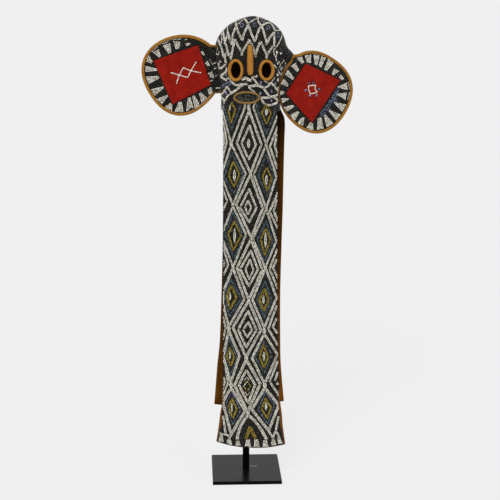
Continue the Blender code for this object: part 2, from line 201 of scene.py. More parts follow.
class Effects:
    """The shader groups that several finishes share, each built once."""

    _built: dict[str, bpy.types.NodeTree] = {}

    @classmethod
    def group(cls, name: str, inputs: dict, outputs: Iterable[str], fill: Callable) -> bpy.types.NodeTree:
        """Finds or builds a shader group.

        Args:
            name: the group's name.
            inputs: the value inputs with their defaults; None makes a vector input.
            outputs: the names of its value outputs.
            fill: lays the nodes, given Nodes, the group's inputs and its outputs.

        Returns:
            The group.
        """
        if name not in cls._built:
            tree = bpy.data.node_groups.new(name, "ShaderNodeTree")
            for label, value in inputs.items():
                kind = "NodeSocketVector" if value is None else "NodeSocketFloat"
                socket = tree.interface.new_socket(label, in_out="INPUT", socket_type=kind)
                if value is not None:
                    socket.default_value = value
            for label in outputs:
                tree.interface.new_socket(label, in_out="OUTPUT", socket_type="NodeSocketFloat")
            source = tree.nodes.new("NodeGroupInput")
            result = tree.nodes.new("NodeGroupOutput")
            fill(Nodes(tree), source.outputs, result.inputs)
            cls._built[name] = tree
        return cls._built[name]

    @classmethod
    def weave(cls) -> bpy.types.NodeTree:
        """The over and under of plain cloth: its height and the shade between threads.

        Returns:
            The group.
        """

        def fill(nodes: Nodes, given: object, result: object) -> None:
            """Lays the nodes of the weave.

            Args:
                nodes: the group's nodes.
                given: the group's inputs.
                result: the group's outputs.
            """
            split = nodes.add("SeparateXYZ", {0: given["Vector"]}).outputs
            warp = nodes.math("MULTIPLY", split[0], given["Threads"])
            weft = nodes.math("MULTIPLY", split[2], given["Threads"])
            wobble = nodes.add("TexNoise", {"Vector": given["Vector"], "Scale": 90.0, "Detail": 2.0})
            bent = nodes.math("MULTIPLY", nodes.math("SUBTRACT", wobble.outputs[0], 0.5), 5.0)
            warp = nodes.math("ADD", warp, bent)
            first = nodes.math("ABSOLUTE", nodes.math("SINE", warp))
            second = nodes.math("ABSOLUTE", nodes.math("SINE", weft))
            turn = nodes.math("SINE", nodes.math("MULTIPLY", warp, 0.5))
            cross = nodes.math("SINE", nodes.math("MULTIPLY", weft, 0.5))
            over = nodes.ramp(nodes.math("MULTIPLY", turn, cross), -0.2, 0.2)
            low = nodes.math("MULTIPLY", nodes.math("SUBTRACT", 1.0, over), second)
            height = nodes.math("ADD", nodes.math("MULTIPLY", over, first), low)
            nodes.join(height, result["Height"])
            nodes.join(nodes.ramp(height, 0.1, 0.75), result["Thread"])

        return cls.group("plain weave", {"Vector": None, "Threads": 3900.0}, ("Height", "Thread"), fill)

    @classmethod
    def wear(cls) -> bpy.types.NodeTree:
        """Patchy soiling and fading at two sizes, with fine dust specks.

        Returns:
            The group.
        """

        def fill(nodes: Nodes, given: object, result: object) -> None:
            """Lays the nodes of the wear.

            Args:
                nodes: the group's nodes.
                given: the group's inputs.
                result: the group's outputs.
            """
            base = {"Vector": given["Vector"], "Detail": 5.0, "Roughness": 0.62}
            broad = nodes.add("TexNoise", {**base, "Scale": given["Patch"]}).outputs[0]
            fine = nodes.math("MULTIPLY", given["Patch"], 11.0)
            small = nodes.add("TexNoise", {**base, "Scale": fine}).outputs[0]
            nodes.join(nodes.ramp(broad, 0.32, 0.68), result["Patches"])
            nodes.join(nodes.ramp(small, 0.42, 0.72), result["Specks"])

        return cls.group("wear", {"Vector": None, "Patch": 14.0}, ("Patches", "Specks"), fill)


class Finish:
    """What the finishes share: each makes its material once."""

    name: str

    def material(self) -> bpy.types.Material:
        """Makes the finish's material, or finds it.

        Returns:
            The material.
        """
        made = bpy.data.materials.get(self.name)
        if made is None:
            made = bpy.data.materials.new(self.name)
            made.use_nodes = True
            self.lay(Nodes(made.node_tree), made.node_tree.nodes["Principled BSDF"].inputs)
        return made

    def lay(self, nodes: Nodes, shader: bpy.types.bpy_prop_collection) -> None:
        """Lays the finish's nodes and joins them to the shader's inputs."""
        raise NotImplementedError


@dataclass(frozen=True)
class ClothFinish(Finish):
    """Woven or felted cloth with its colour, its worn and its soiled colour, and painted shade by height and across
    where given.
    """

    name: str
    colour: Colour
    faded: Colour
    soiled: Colour
    threads: float = 3900.0
    patch: float = 14.0
    bump: float = 0.35
    roughness: float = 0.92
    sheen: float = 0.05
    gloss: float = 0.15
    # Brightness profiles by height and by x, multiplied into the colour: painted shade.
    upward: tuple[Point, ...] = ()
    across: tuple[Point, ...] = ()

    def lay(self, nodes: Nodes, shader: bpy.types.bpy_prop_collection) -> None:
        """Lays the weave, the wear and the shade along the piece.

        Args:
            nodes: the material's nodes.
            shader: the shader's inputs.
        """
        spot = nodes.add("TexCoord").outputs["Object"]
        weave = nodes.add("Group", node_tree=Effects.weave())
        weave.inputs["Threads"].default_value = self.threads
        wear = nodes.add("Group", node_tree=Effects.wear())
        wear.inputs["Patch"].default_value = self.patch
        for group in (weave, wear):
            nodes.join(spot, group.inputs["Vector"])
        patches = nodes.math("MULTIPLY", wear.outputs["Patches"], 0.75)
        colour = nodes.mix(patches, linear(*self.colour), linear(*self.faded))
        specks = nodes.math("MULTIPLY", wear.outputs["Specks"], 0.55)
        colour = nodes.mix(specks, colour, linear(*self.soiled))
        shade = nodes.math("ADD", nodes.math("MULTIPLY", weave.outputs["Thread"], 0.35), 0.65)
        # Painted shade: the colour darkens or lightens along the height and x profiles.
        for axis, steps in ((2, self.upward), (0, self.across)):
            if steps:
                value = nodes.add("SeparateXYZ", {0: spot}).outputs[axis]
                shade = nodes.math("MULTIPLY", shade, nodes.profile(value, steps))
        tint = nodes.add("CombineColor", {0: shade, 1: shade, 2: shade}).outputs[0]
        colour = nodes.mix(1.0, colour, tint, "MULTIPLY")
        nodes.join(colour, shader["Base Color"])
        fuzz = nodes.add("TexNoise", {"Vector": spot, "Scale": 900.0, "Detail": 3.0}).outputs[0]
        height = nodes.math("ADD", weave.outputs["Height"], nodes.math("MULTIPLY", fuzz, 0.8))
        bump = nodes.add("Bump", {"Strength": self.bump, "Distance": 0.0006, "Height": height})
        nodes.join(bump.outputs[0], shader["Normal"])
        rough = nodes.math("MULTIPLY", wear.outputs["Specks"], 0.06)
        rough = nodes.math("SUBTRACT", self.roughness, rough)
        nodes.join(rough, shader["Roughness"])
        shader["Sheen Weight"].default_value = self.sheen
        shader["Sheen Roughness"].default_value = 0.55
        shader["Specular IOR Level"].default_value = self.gloss


@dataclass(frozen=True)
class GlassFinish(Finish):
    """Small glass beads of one colour, each with its own tone."""

    name: str
    colour: Colour
    light: Colour
    dark: Colour
    roughness: float = 0.3

    def lay(self, nodes: Nodes, shader: bpy.types.bpy_prop_collection) -> None:
        """Lays the glass, lighter or darker by each bead's tone.

        Args:
            nodes: the material's nodes.
            shader: the shader's inputs.
        """
        tone = nodes.add("Attribute", attribute_name="tone").outputs["Fac"]
        low = nodes.ramp(tone, 0.0, 0.5)
        high = nodes.ramp(tone, 0.5, 1.0)
        colour = nodes.mix(low, linear(*self.dark), linear(*self.colour))
        colour = nodes.mix(high, colour, linear(*self.light))
        nodes.join(colour, shader["Base Color"])
        swirl = nodes.math("FRACT", nodes.math("MULTIPLY", tone, 7.3))
        rough = nodes.math("MULTIPLY_ADD", swirl, 0.16, self.roughness - 0.08)
        nodes.join(rough, shader["Roughness"])
        shader["IOR"].default_value = 1.44
        shader["Coat Weight"].default_value = 0.08
        shader["Coat Roughness"].default_value = 0.12


@dataclass(frozen=True)
class SteelFinish(Finish):
    """Blackened satin steel with faint brushing and dust."""

    name: str
    colour: Colour
    dusty: Colour
    roughness: float
    lacquer: float = 0.0
    pale_streak: tuple[float, float, float, float] | None = None

    def lay(self, nodes: Nodes, shader: bpy.types.bpy_prop_collection) -> None:
        """Lays the brushed steel, its lacquer on top and its pale streak.

        Args:
            nodes: the material's nodes.
            shader: the shader's inputs.
        """
        spot = nodes.add("TexCoord").outputs["Object"]
        wear = nodes.add("Group", {"Vector": spot, "Patch": 9.0}, node_tree=Effects.wear())
        mottle = nodes.math("MULTIPLY", wear.outputs["Patches"], 0.6)
        colour = nodes.mix(mottle, linear(*self.colour), linear(*self.dusty))
        # A pale streak on the plate beside the post's foot.
        if self.pale_streak:
            x, y, length, width = self.pale_streak
            apart = nodes.add("SeparateXYZ", {0: spot}).outputs
            far = nodes.ramp(nodes.math("ABSOLUTE", nodes.math("SUBTRACT", apart[0], x)), length, 0.7 * length)
            wide = nodes.ramp(nodes.math("ABSOLUTE", nodes.math("SUBTRACT", apart[1], y)), width, 0.3 * width)
            colour = nodes.mix(nodes.math("MULTIPLY", far, wide), colour, linear(196, 186, 172))
        nodes.join(colour, shader["Base Color"])
        if self.lacquer:
            facing = nodes.add("SeparateXYZ", {0: nodes.add("NewGeometry").outputs["Normal"]}).outputs[2]
            coat = nodes.math("MULTIPLY", nodes.ramp(facing, 0.4, 0.9), self.lacquer)
            nodes.join(coat, shader["Coat Weight"])
            shader["Coat Roughness"].default_value = 0.22
        grain = nodes.add("Mapping", {"Vector": spot, "Scale": (30.0, 900.0, 900.0)}).outputs[0]
        lines = nodes.add("TexNoise", {"Vector": grain, "Scale": 1.0, "Detail": 4.0}).outputs[0]
        rough = nodes.math("MULTIPLY_ADD", wear.outputs["Specks"], 0.12, self.roughness)
        rough = nodes.math("MULTIPLY_ADD", lines, 0.08, rough)
        nodes.join(rough, shader["Roughness"])
        bump = nodes.add("Bump", {"Strength": 0.08, "Distance": 0.0002, "Height": lines})
        nodes.join(bump.outputs[0], shader["Normal"])
        shader["Specular IOR Level"].default_value = 0.03


OCHRE = ClothFinish("ochre_cotton", (174, 114, 36), (194, 138, 58), (118, 68, 18), bump=0.5, patch=30.0)
MOUTH_TAN = ClothFinish("tan_cotton", (142, 106, 54), (160, 126, 72), (96, 64, 28), bump=0.5, patch=30.0)
BROWN = ClothFinish("brown_cotton", (140, 84, 16), (164, 104, 28), (84, 46, 8), bump=0.5)
SIDE_BROWN = ClothFinish("dark_brown_cotton", (110, 66, 18), (132, 84, 30), (66, 38, 10), bump=0.5)
# Painted shade on the back panel's inside: darker towards the top and just behind the trunk's edges, lighter at the
# outer edges, and darker along the bottom.
PAINTED_SHADE_BROWN = ClothFinish(
    "soiled_brown_cotton", (140, 84, 16), (164, 104, 28), (70, 38, 8), bump=0.5, sheen=0.02, gloss=0.03,
    upward=((0.21, 0.5), (0.24, 1), (0.58, 1), (0.72, 0.56), (0.8, 0.46), (1, 0.5), (1.1, 0.42), (1.2, 0.16)),
    across=((-0.108, 0.58), (-0.086, 0.30), (-0.05, 0.50), (0.06, 0.55), (0.102, 0.38), (0.126, 1.1)),
)
LINING = ClothFinish("brown_lining", (70, 46, 20), (92, 62, 30), (34, 22, 10))
# The ears' edge rolls, with painted shade: darker where they meet the hood, most on the right ear.
BINDING = ClothFinish(
    "binding_cotton", (154, 102, 28), (176, 126, 46), (90, 54, 12), bump=0.5, patch=26.0,
    across=((-0.128, 1.0), (-0.105, 0.6), (0.088, 0.3), (0.112, 0.5), (0.138, 1.0)),
)
RED = ClothFinish(
    "red_felted_wool", (128, 13, 4), (166, 30, 10), (70, 6, 3), threads=2600.0, patch=46.0, sheen=0.03, gloss=0.1
)
GROUND = ClothFinish("dark_ground_cloth", (16, 14, 10), (28, 25, 20), (10, 9, 7))
HEM_EDGE = ClothFinish("dark_hem_cloth", (22, 17, 11), (36, 27, 18), (14, 10, 7))
FELT = ClothFinish("black_felt", (26, 26, 28), (38, 38, 40), (18, 18, 18), threads=2200.0)
# The plate's steel, with a pale streak beside the post's foot.
STEEL = SteelFinish("blackened_steel", (9, 7, 5), (15, 13, 9), 0.4, lacquer=1.0, pale_streak=(0.025, 0.0114, 0.015, 0.003))
POST_STEEL = SteelFinish("post_steel", (7, 5, 3), (12, 9, 5), 0.5)


class Glass(Enum):
    """The kinds of glass bead that the maker has."""

    WHITE = GlassFinish("white_glass", (228, 225, 211), (250, 249, 241), (148, 143, 127))
    ROSE = GlassFinish("rose_glass", (222, 196, 180), (240, 220, 208), (150, 122, 112))
    MINT = GlassFinish("mint_glass", (204, 210, 180), (226, 232, 204), (134, 142, 114))
    NIGHT = GlassFinish("night_glass", (23, 20, 11), (45, 43, 34), (9, 7, 3))
    INK = GlassFinish("ink_glass", (33, 27, 38), (60, 52, 70), (13, 11, 15))
    MOSS = GlassFinish("moss_glass", (23, 30, 18), (44, 54, 38), (8, 11, 6))
    BLUE = GlassFinish("blue_glass", (52, 74, 86), (94, 120, 132), (22, 36, 46))
    SLATE = GlassFinish("slate_glass", (86, 98, 102), (130, 142, 144), (48, 58, 62))
    VIOLET = GlassFinish("violet_glass", (88, 94, 122), (134, 140, 166), (50, 54, 80))
    LILAC = GlassFinish("lilac_glass", (150, 152, 190), (192, 194, 216), (104, 104, 146))
    YELLOW = GlassFinish("yellow_glass", (155, 133, 32), (194, 173, 72), (98, 80, 12))
    AMBER = GlassFinish("amber_glass", (150, 104, 26), (186, 142, 58), (96, 60, 12))
    TEAL = GlassFinish("teal_glass", (64, 67, 56), (104, 109, 94), (31, 34, 26))
    CHALK = GlassFinish("chalk_glass", (250, 244, 228), (255, 252, 244), (224, 216, 198))


GLASSES = tuple(Glass)


class Strand(Enum):
    """The mixes that go on one thread: each kind of glass and how often it comes up."""

    PALE = ((Glass.WHITE, 0.88), (Glass.ROSE, 0.07), (Glass.MINT, 0.05))
    DARK = ((Glass.NIGHT, 0.76), (Glass.INK, 0.12), (Glass.MOSS, 0.08), (Glass.TEAL, 0.04))
    BLUE = ((Glass.BLUE, 0.68), (Glass.SLATE, 0.22), (Glass.TEAL, 0.10))
    VIOLET = ((Glass.VIOLET, 0.55), (Glass.BLUE, 0.30), (Glass.SLATE, 0.15))
    YELLOW = ((Glass.YELLOW, 0.88), (Glass.AMBER, 0.12))
    PINK = ((Glass.ROSE, 0.8), (Glass.WHITE, 0.2))
    LIME = ((Glass.YELLOW, 0.6), (Glass.MOSS, 0.2), (Glass.MINT, 0.2))
    SHADED = ((Glass.VIOLET, 0.4), (Glass.BLUE, 0.4), (Glass.SLATE, 0.2))
    CHALK = ((Glass.CHALK, 1.0),)
    RING = ((Glass.VIOLET, 0.75), (Glass.LILAC, 0.25))
    SPOT = ((Glass.LILAC, 0.75), (Glass.SLATE, 0.25))
    BRIGHT = ((Glass.WHITE, 0.5), (Glass.CHALK, 0.45), (Glass.ROSE, 0.05))
    CHEEK = ((Glass.VIOLET, 0.4), (Glass.BLUE, 0.4), (Glass.LILAC, 0.2))
    TEMPLE = ((Glass.NIGHT, 0.50), (Glass.INK, 0.42), (Glass.MOSS, 0.08))
    MOUTH = ((Glass.TEAL, 0.80), (Glass.NIGHT, 0.15), (Glass.SLATE, 0.05))


# ---- mesh helpers


def new_mesh(net: Net, name: str) -> bpy.types.Mesh:
    """Turns a bmesh into a mesh and frees it.

    Args:
        net: the mesh, which is freed.
        name: its name.

    Returns:
        The mesh.
    """
    mesh = bpy.data.meshes.new(name)
    net.to_mesh(mesh)
    net.free()
    return mesh


def new_object(name: str, data: object) -> Piece:
    """Puts a new object with this mesh, lamp or lens in the scene.

    Args:
        name: its name.
        data: the mesh, lamp or lens.

    Returns:
        The object.
    """
    made = bpy.data.objects.new(name, data)
    bpy.context.scene.collection.objects.link(made)
    return made


def finish_piece(net: Net, name: str, materials: Sequence[Finish], replaces: str = "") -> Piece:
    """Turns a finished bmesh into a piece of the mask.

    Args:
        net: the mesh, which is freed.
        name: the piece's name.
        materials: the finishes, in the order of the faces' material numbers.
        replaces: the CAD node that the piece stands for, if any.

    Returns:
        The new object, riding on the body.
    """
    for face in net.faces:
        face.smooth = True
    piece = new_object(name, new_mesh(net, name))
    for finish in materials:
        piece.data.materials.append(finish.material())
    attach(piece, BODY)
    if replaces:
        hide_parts(replaces)
    return piece


def draped_grid(columns: int, rows: int, place: Callable[[float, float], Vector], welded: bool = False) -> Net:
    """Lays a grid over a surface.

    Args:
        columns: the faces across.
        rows: the faces up.
        place: gives a point of the surface for how far across and up it is, each 0 to 1.
        welded: whether its sides meet, as round a hood.

    Returns:
        The mesh.
    """
    net = bmesh.new()
    bmesh.ops.create_grid(net, x_segments=columns, y_segments=rows, size=0.5)
    for vert in net.verts:
        vert.co = place(vert.co.x + 0.5, vert.co.y + 0.5)
    if welded:
        bmesh.ops.remove_doubles(net, verts=net.verts, dist=0.00002)
    bmesh.ops.recalc_face_normals(net, faces=net.faces)
    return net


def loft(sections: Sequence[Sequence[Vector]], closed: bool) -> Net:
    """Extrudes a ring from section to section.

    Args:
        sections: the points of each section, all of one length.
        closed: whether the last section joins the first; otherwise both ends are capped.

    Returns:
        The mesh, with its faces outwards.
    """
    net = bmesh.new()
    count = len(sections[0])
    ring = bmesh.ops.create_circle(net, cap_ends=False, segments=count, radius=1.0)["verts"]
    for vert, place in zip(ring, sections[0]):
        vert.co = place
    first_edges = net.edges[:]
    edges = first_edges
    for section in sections[1:]:
        numbers = {vert: number for number, vert in enumerate(ring)}
        made = bmesh.ops.extrude_edge_only(net, edges=edges)["geom"]
        edges = [item for item in made if isinstance(item, bmesh.types.BMEdge)]
        fresh = [item for item in made if isinstance(item, bmesh.types.BMVert)]
        ring = [None] * count
        for vert in fresh:
            mates = (edge.other_vert(vert) for edge in vert.link_edges)
            number = next(numbers[mate] for mate in mates if mate in numbers)
            ring[number] = vert
            vert.co = section[number]
        edges = [edge for edge in edges if all(vert in ring for vert in edge.verts)]
    if closed:
        bmesh.ops.bridge_loops(net, edges=edges + first_edges)
    else:
        bmesh.ops.holes_fill(net, edges=edges + first_edges, sides=0)
    bmesh.ops.recalc_face_normals(net, faces=net.faces)
    return net


def thicken(piece: Piece, thickness: float, lining: int = 0) -> None:
    """Gives a sheet its thickness, inwards from its outer face; the lining's faces take a later finish.

    Args:
        piece: the piece.
        thickness: how thick the cloth is.
        lining: how many finishes later the lining's comes.
    """
    wall = piece.modifiers.new("thickness", "SOLIDIFY")
    wall.thickness = thickness
    wall.offset = -1.0
    wall.use_even_offset = True
    wall.use_rim = True
    wall.material_offset = lining
    settle(piece)


def settle(piece: Piece) -> None:
    """Applies a piece's modifiers to its mesh.

    Args:
        piece: the piece.
    """
    bpy.context.view_layer.update()
    graph = bpy.context.evaluated_depsgraph_get()
    mesh = bpy.data.meshes.new_from_object(piece.evaluated_get(graph))
    piece.modifiers.clear()
    old = piece.data
    piece.data = mesh
    bpy.data.meshes.remove(old)
    mesh.name = piece.name


def level_values(levels: Sequence[Sequence[float]], z: float) -> list[float]:
    """Reads measures at a height from rows that start with their heights.

    Args:
        levels: rows of a height and its measures, upwards.
        z: the height.

    Returns:
        The measures there, joined smoothly between the rows.
    """
    z = min(max(z, levels[0][0]), levels[-1][0])
    row = 0
    while row < len(levels) - 2 and z > levels[row + 1][0]:
        row += 1
    low, high = levels[row], levels[row + 1]
    before = levels[max(row - 1, 0)]
    after = levels[min(row + 2, len(levels) - 1)]
    run = high[0] - low[0]
    t = (z - low[0]) / run
    values = []
    for k in range(1, len(low)):
        slope_low = run * (high[k] - before[k]) / (high[0] - before[0])
        slope_high = run * (after[k] - low[k]) / (after[0] - low[0])
        values.append(
            (2 * t**3 - 3 * t**2 + 1) * low[k]
            + (t**3 - 2 * t**2 + t) * slope_low
            + (3 * t**2 - 2 * t**3) * high[k]
            + (t**3 - t**2) * slope_high
        )
    return values


def ripple(place: Vector, size: float, depth: float) -> float:
    """A soft unevenness of the cloth at a point."""
    return depth * noise.noise(place / size)


# ---- the hood's form


@dataclass
class HoodForm:
    """The hood's shape, the same as in the CAD, that everything on the head lies on."""

    floor: float = 1.235
    brow: float = 1.4345
    crown: float = 1.5255
    crown_shift: float = 0.007
    rise_power: float = 1.9
    width_power: float = 0.58
    brow_share: float = 0.62
    levels: tuple = (
        (1.235, 0.0085, 0.0940, 0.108, 0.100, 3.4),
        (1.260, 0.0095, 0.0938, 0.110, 0.102, 3.4),
        (1.300, 0.0092, 0.0970, 0.112, 0.105, 3.2),
        (1.360, 0.0085, 0.1045, 0.111, 0.107, 2.9),
        (1.400, 0.0083, 0.1082, 0.108, 0.106, 2.7),
        (1.4345, 0.0085, 0.1095, 0.103, 0.102, 2.5),
    )
    pulls: tuple = (
        (math.radians(-25), 1.402, 0.033, math.radians(22), 0.0245),
        (math.radians(198), 1.385, 0.007, math.radians(26), 0.060),
    )

    def section(self, z: float, inset: float = 0.0) -> tuple[float, float, float, float, float]:
        """The outline at a height.

        Args:
            z: the height.
            inset: how far inside the outer face.

        Returns:
            Its centre, half width, front reach, back reach and squareness.
        """
        centre, half, front, back, square = level_values(self.levels, z)
        half, front, back = half - inset, front - inset, back - inset
        if z > self.brow:
            rise = min((z - self.brow) / (self.crown - inset - self.brow), 1.0)
            shrink = (1 - rise**self.rise_power) ** self.width_power
            half, front, back = half * shrink, front * shrink, back * shrink
            centre += self.crown_shift * rise
        return centre, half, front, back, square

    def pull(self, angle: float, z: float) -> float:
        """How far the ears pull the cloth outwards at an angle and height.

        Args:
            angle: the direction, in radians.
            z: the height.

        Returns:
            The distance.
        """
        total = 0.0
        for middle, height, reach, spread, rise in self.pulls:
            turn = (angle - middle + math.pi) % (2 * math.pi) - math.pi
            total += reach * math.exp(-((turn / spread) ** 2) - ((z - height) / rise) ** 2)
        return total

    def point(self, angle: float, z: float, inset: float = 0.0) -> Vector:
        """A point of the hood; angle 0 is +X and minus a quarter turn is the front.

        Args:
            angle: the direction, in radians.
            z: the height.
            inset: how far inside the outer face.

        Returns:
            The point.
        """
        centre, half, front, back, square = self.section(z, inset)
        power = 2 / square
        along = math.copysign(abs(math.cos(angle)) ** power, math.cos(angle))
        across = math.copysign(abs(math.sin(angle)) ** power, math.sin(angle))
        x = half * along
        y = (back if across > 0 else front) * across
        plan = math.atan2(y, x)
        reach = self.pull(plan, z)
        return Vector((centre + x + reach * math.cos(plan), y + reach * math.sin(plan), z))

    def front(self, x: float, z: float) -> Vector:
        """The point of the hood's front with this x and height.

        Args:
            x: how far to the right.
            z: the height.

        Returns:
            The point.
        """
        low, high = -math.pi, 0.0
        for _ in range(30):
            middle = (low + high) / 2
            if self.point(middle, z).x < x:
                low = middle
            else:
                high = middle
        return self.point((low + high) / 2, z)

    def front_normal(self, x: float, z: float) -> Vector:
        """The direction out of the hood's front there.

        Args:
            x: how far to the right.
            z: the height.

        Returns:
            The direction, of length 1.
        """
        along = self.front(x + MM, z) - self.front(x - MM, z)
        rise = self.front(x, z + MM) - self.front(x, z - MM)
        return along.cross(rise).normalized()

    def height_at(self, share: float, inset: float = 0.0) -> float:
        """The height of a share, 0 to 1, of the way from the hood's floor to its crown.

        Args:
            share: the share of the way, 0 to 1.
            inset: how far inside the outer face.

        Returns:
            The height.
        """
        split = self.brow_share
        if share < split:
            return self.floor + (self.brow - self.floor) * share / split
        dome = self.crown - inset - self.brow
        return self.brow + dome * math.sin(0.5 * math.pi * (share - split) / (1 - split))

    def shell(self, columns: int, rows: int, inset: float, uneven: float) -> Net:
        """The hood as one closed sheet, open below.

        Args:
            columns: the faces round it.
            rows: the faces up it.
            inset: how far inside the CAD's outer face it lies.
            uneven: how deep the cloth's unevenness is.

        Returns:
            The mesh.
        """

        def place(across: float, up: float) -> Vector:
            """A point of the hood's sheet.

            Args:
                across: how far across, 0 to 1.
                up: how far up, 0 to 1.

            Returns:
                The point.
            """
            z = self.height_at(up, inset)
            if up > 0.9999:
                z = self.crown - inset
            spot = self.point(math.pi / 2 + 2 * math.pi * across, z, inset)
            if up > 0.9999:
                return Vector((self.section(z, inset)[0], 0.0, z))
            away = Vector((spot.x, spot.y, 0)).normalized()
            centre = Vector((math.cos(2 * math.pi * across), math.sin(2 * math.pi * across), 0))
            wave = ripple(Vector((centre.x * 0.1, centre.y * 0.1, z)), 0.03, uneven)
            return spot + away * wave

        return draped_grid(columns, rows, place, welded=True)


FORM = HoodForm()


@dataclass
class FaceRing:
    """An oval stuffed roll on the face."""

    name: str
    x: float
    z: float
    half_width: float
    half_height: float
    width: float
    height: float

    def share(self, x: float, z: float, grow: float) -> float:
        """Below 1 inside the oval grown by this much, above 1 outside it.

        Args:
            x: how far to the right.
            z: the height.
            grow: how much larger it is taken.

        Returns:
            The measure.
        """
        across = (x - self.x) / (self.half_width + grow)
        up = (z - self.z) / (self.half_height + grow)
        return across * across + up * up


LEFT_EYE = FaceRing("eye_ring_left", -0.0420, 1.3632, 0.0193, 0.0297, 0.0092, 0.0080)
RIGHT_EYE = FaceRing("eye_ring_right", 0.0528, 1.3634, 0.0202, 0.0282, 0.0092, 0.0080)
MOUTH = FaceRing("mouth_ring", -0.0080, 1.2795, 0.0385, 0.0168, 0.0060, 0.0045)


@dataclass
class Nose:
    """The long stuffed nose, narrow above and wide below."""

    foot: Point = (0.0030, 1.3490)
    tip: Point = (0.0012, 1.4405)
    wide: Point = (0.0230, 0.0160)
    high: Point = (0.0190, 0.0110)

    def measures(self, up: float) -> tuple[float, float, float, float]:
        """The middle's x and z, the width and the height, a share of the way up.

        Args:
            up: the share of the way up, 0 to 1.

        Returns:
            The four measures.
        """
        x = self.foot[0] + (self.tip[0] - self.foot[0]) * up
        z = self.foot[1] + (self.tip[1] - self.foot[1]) * (0.5 - 0.5 * math.cos(math.pi * up))
        rounding = math.sin(math.pi * min(max(up, 0.02), 0.98)) ** 0.35
        width = (self.wide[0] + (self.wide[1] - self.wide[0]) * up) * rounding
        height = (self.high[0] + (self.high[1] - self.high[0]) * up) * rounding
        return x, z, width, height

    def covers(self, x: float, z: float) -> bool:
        """Whether the nose lies over this spot of the face.

        Args:
            x: how far to the right.
            z: the height.

        Returns:
            Whether it does.
        """
        if not self.foot[1] - MM < z < self.tip[1] + MM:
            return False
        up = math.acos(1 - 2 * min(max((z - self.foot[1]) / (self.tip[1] - self.foot[1]), 0), 1)) / math.pi
        middle, _, width, _ = self.measures(up)
        return abs(x - middle) < width / 2 + 0.8 * MM


NOSE = Nose()


# ---- the panels' form


@dataclass
class PanelForm:
    """The shape of a hanging panel, the same as in the CAD."""

    side: int
    hem_y: float
    hems: tuple[float, float, float]
    levels: tuple
    flattening: float = 0.085
    bow: float = 0.007

    def edges(self, z: float) -> list[float]:
        """The left and right edge at a height."""
        return level_values(self.levels, z)

    def y(self, x: float, z: float) -> float:
        """Where the outer face is at this x and height.

        Args:
            x: how far to the right.
            z: the height.

        Returns:
            The y of the face.
        """
        centre, half, front, back, square = FORM.section(FORM.floor)
        across = min(abs(x - centre) / half, 1.0)
        reach = back if self.side > 0 else front
        round_y = self.side * reach * (1 - across**square) ** (1 / square)
        flat_y = self.hem_y - self.side * self.bow * across**2
        keep = math.exp(-max(FORM.floor - z, 0.0) / self.flattening)
        return keep * round_y + (1 - keep) * flat_y

    def hem_z(self, across: float) -> float:
        """The hem's height, across from -1 at the left to 1 at the right.

        Args:
            across: how far across, from -1 to 1.

        Returns:
            The height.
        """
        left, middle, right = self.hems
        corner = left + (right - left) * (across + 1) / 2
        return corner + (middle - (left + right) / 2) * (1 - abs(across) ** 2.5)

    def sheet(self, columns: int, rows: int, inset: float, wave: Callable[[float, float], float]) -> Net:
        """The panel as one sheet.

        Args:
            columns: the faces across.
            rows: the faces up.
            inset: how far inside the outer face it lies.
            wave: the cloth's outward waves at an x and height.

        Returns:
            The mesh, facing outwards.
        """

        def place(across: float, up: float) -> Vector:
            """A point of the panel's sheet.

            Args:
                across: how far across, 0 to 1.
                up: how far up, 0 to 1.

            Returns:
                The point.
            """
            hem = self.hem_z(2 * across - 1)
            z = hem + (FORM.floor - GAP - hem) * up
            left, right = self.edges(z)
            x = left + (right - left) * across
            return Vector((x, self.y(x, z) - self.side * inset + self.side * wave(x, z), z))

        net = draped_grid(columns, rows, place)
        net.normal_update()
        if sum(face.normal.y for face in net.faces) * self.side < 0:
            bmesh.ops.reverse_faces(net, faces=net.faces)
        return net


TRUNK = PanelForm(
    side=-1,
    hem_y=-0.112,
    hems=(0.148, 0.127, 0.135),
    levels=(
        (0.130, -0.1060, 0.1265),
        (0.200, -0.0955, 0.1165),
        (0.238, -0.0912, 0.1134),
        (0.278, -0.0853, 0.1080),
        (0.340, -0.0825, 0.1030),
        (0.632, -0.0812, 0.0955),
        (0.960, -0.0808, 0.0921),
        (1.235, -0.0815, 0.0885),
    ),
)
BACK = PanelForm(
    side=1,
    hem_y=0.103,
    hems=(0.2075, 0.204, 0.217),
    levels=(
        (0.205, -0.1062, 0.1360),
        (0.347, -0.0955, 0.1230),
        (0.436, -0.0870, 0.1200),
        (0.610, -0.0812, 0.1183),
        (0.760, -0.0775, 0.1205),
        (0.920, -0.0762, 0.1235),
        (1.150, -0.0762, 0.1240),
        (1.200, -0.0762, 0.1210),
        (1.235, -0.0765, 0.1050),
    ),
)


# ---- beads


@dataclass
class Bead:
    """One bead: where it is, the line of its hole, its size, glass and tone."""

    centre: Vector
    axis: Vector
    length: float
    width: float
    glass: int
    tone: float


